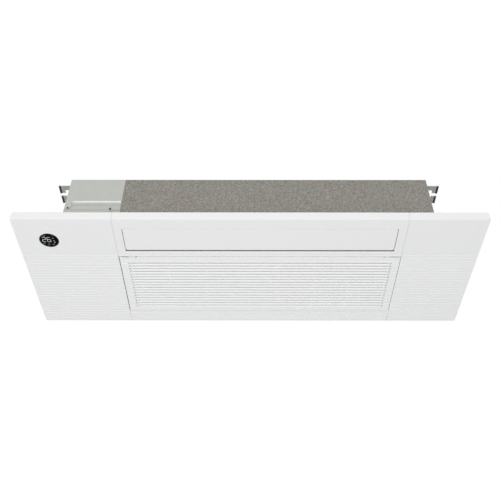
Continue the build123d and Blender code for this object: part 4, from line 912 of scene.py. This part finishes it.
def ground():
    """A pale floor far below that turns to plain white with distance."""
    half_size, squares, floor_z = 16, 8, -2.6
    mottle_size, rough, shrink = 0.6, 0.9, 0.1
    near_fac, far_fac = 0.75, 0.35
    mesh = bmesh.new()
    bmesh.ops.create_grid(mesh, x_segments=squares, y_segments=squares, size=half_size)
    data = bpy.data.meshes.new("floor")
    mesh.to_mesh(data)
    mesh.free()
    floor = bpy.data.objects.new("floor", data)
    floor.location = (0, 0, floor_z)
    scene.collection.objects.link(floor)

    finish = Finish("floor", specular=0.1)
    pale = finish.mix(finish.noise(mottle_size), srgb(238, 238, 238), srgb(242, 242, 242))
    finish.done(pale, rough)
    wide = finish.stretched((shrink, shrink, shrink))
    middle = finish.add("ShaderNodeTexGradient", {"Vector": wide}, gradient_type="SPHERICAL")
    away = finish.levels(middle.outputs["Fac"], far_fac, near_fac, 1.0, 0.0)
    white = finish.add("ShaderNodeEmission", {"Color": WHITE})
    share = finish.product(seen(finish.tree), away)
    inputs = {0: share, 1: finish.shader.outputs[0], 2: white.outputs[0]}
    blend = finish.add("ShaderNodeMixShader", inputs)
    surface = finish.tree.nodes["Material Output"].inputs["Surface"]
    feed(finish.tree, surface, blend.outputs[0])
    data.materials.append(finish.material)


def surround():
    """A world that lights the object evenly and looks plain white."""
    tint, strength = (0.985, 0.99, 1.0, 1), 0.72
    world = bpy.data.worlds.new("studio")
    scene.world = world
    world.use_nodes = True
    tree = world.node_tree
    light = tree.nodes["Background"]
    light.inputs["Color"].default_value = tint
    light.inputs["Strength"].default_value = strength
    white = add_node(tree, "ShaderNodeBackground", {"Color": WHITE})
    inputs = {0: seen(tree), 1: light.outputs[0], 2: white.outputs[0]}
    blend = add_node(tree, "ShaderNodeMixShader", inputs)
    feed(tree, tree.nodes["World Output"].inputs["Surface"], blend.outputs[0])


def lamps():
    """Three soft round lamps that face the part, with their size in metres and power in watts."""
    for name, place, size, power in (
        ("lamp_front", (-0.3, -3.0, -1.6), 1.8, 40),
        ("lamp_below", (-0.4, 0.1, -2.3), 1.8, 3.1),
        ("lamp_top", (-0.8, 0.6, 2.6), 2.0, 22),
    ):
        lamp = bpy.data.lights.new(name, "AREA")
        lamp.shape = "DISK"
        lamp.size = size
        lamp.energy = power
        holder = bpy.data.objects.new(name, lamp)
        holder.location = place
        holder.rotation_euler = (-Vector(place)).to_track_quat("-Z", "Y").to_euler()
        holder.visible_camera = False
        scene.collection.objects.link(holder)


def camera():
    """The photograph's view: from in front and below, looking up at the panel."""
    place, lens, sensor_w = (0.007, -1.388, -1.200), 48.64, 36.0
    pitch, yaw, roll = (math.radians(angle) for angle in (42.89, -0.31, 0.27))
    level_out = Vector((math.sin(yaw), math.cos(yaw), 0))
    forward = level_out * math.cos(pitch) + Vector((0, 0, math.sin(pitch)))
    level = Vector((math.cos(yaw), -math.sin(yaw), 0))
    upward = level.cross(forward)
    right = level * math.cos(roll) + upward * math.sin(roll)
    up = upward * math.cos(roll) - level * math.sin(roll)
    data = bpy.data.cameras.new("camera")
    data.sensor_width = sensor_w
    data.lens = lens
    holder = bpy.data.objects.new("camera", data)
    rows = [(right[i], up[i], -forward[i], place[i]) for i in range(3)]
    holder.matrix_world = Matrix((*rows, (0, 0, 0, 1)))
    scene.collection.objects.link(holder)
    scene.camera = holder


ground()
surround()
lamps()
camera()
scene.view_settings.view_transform = "Standard"
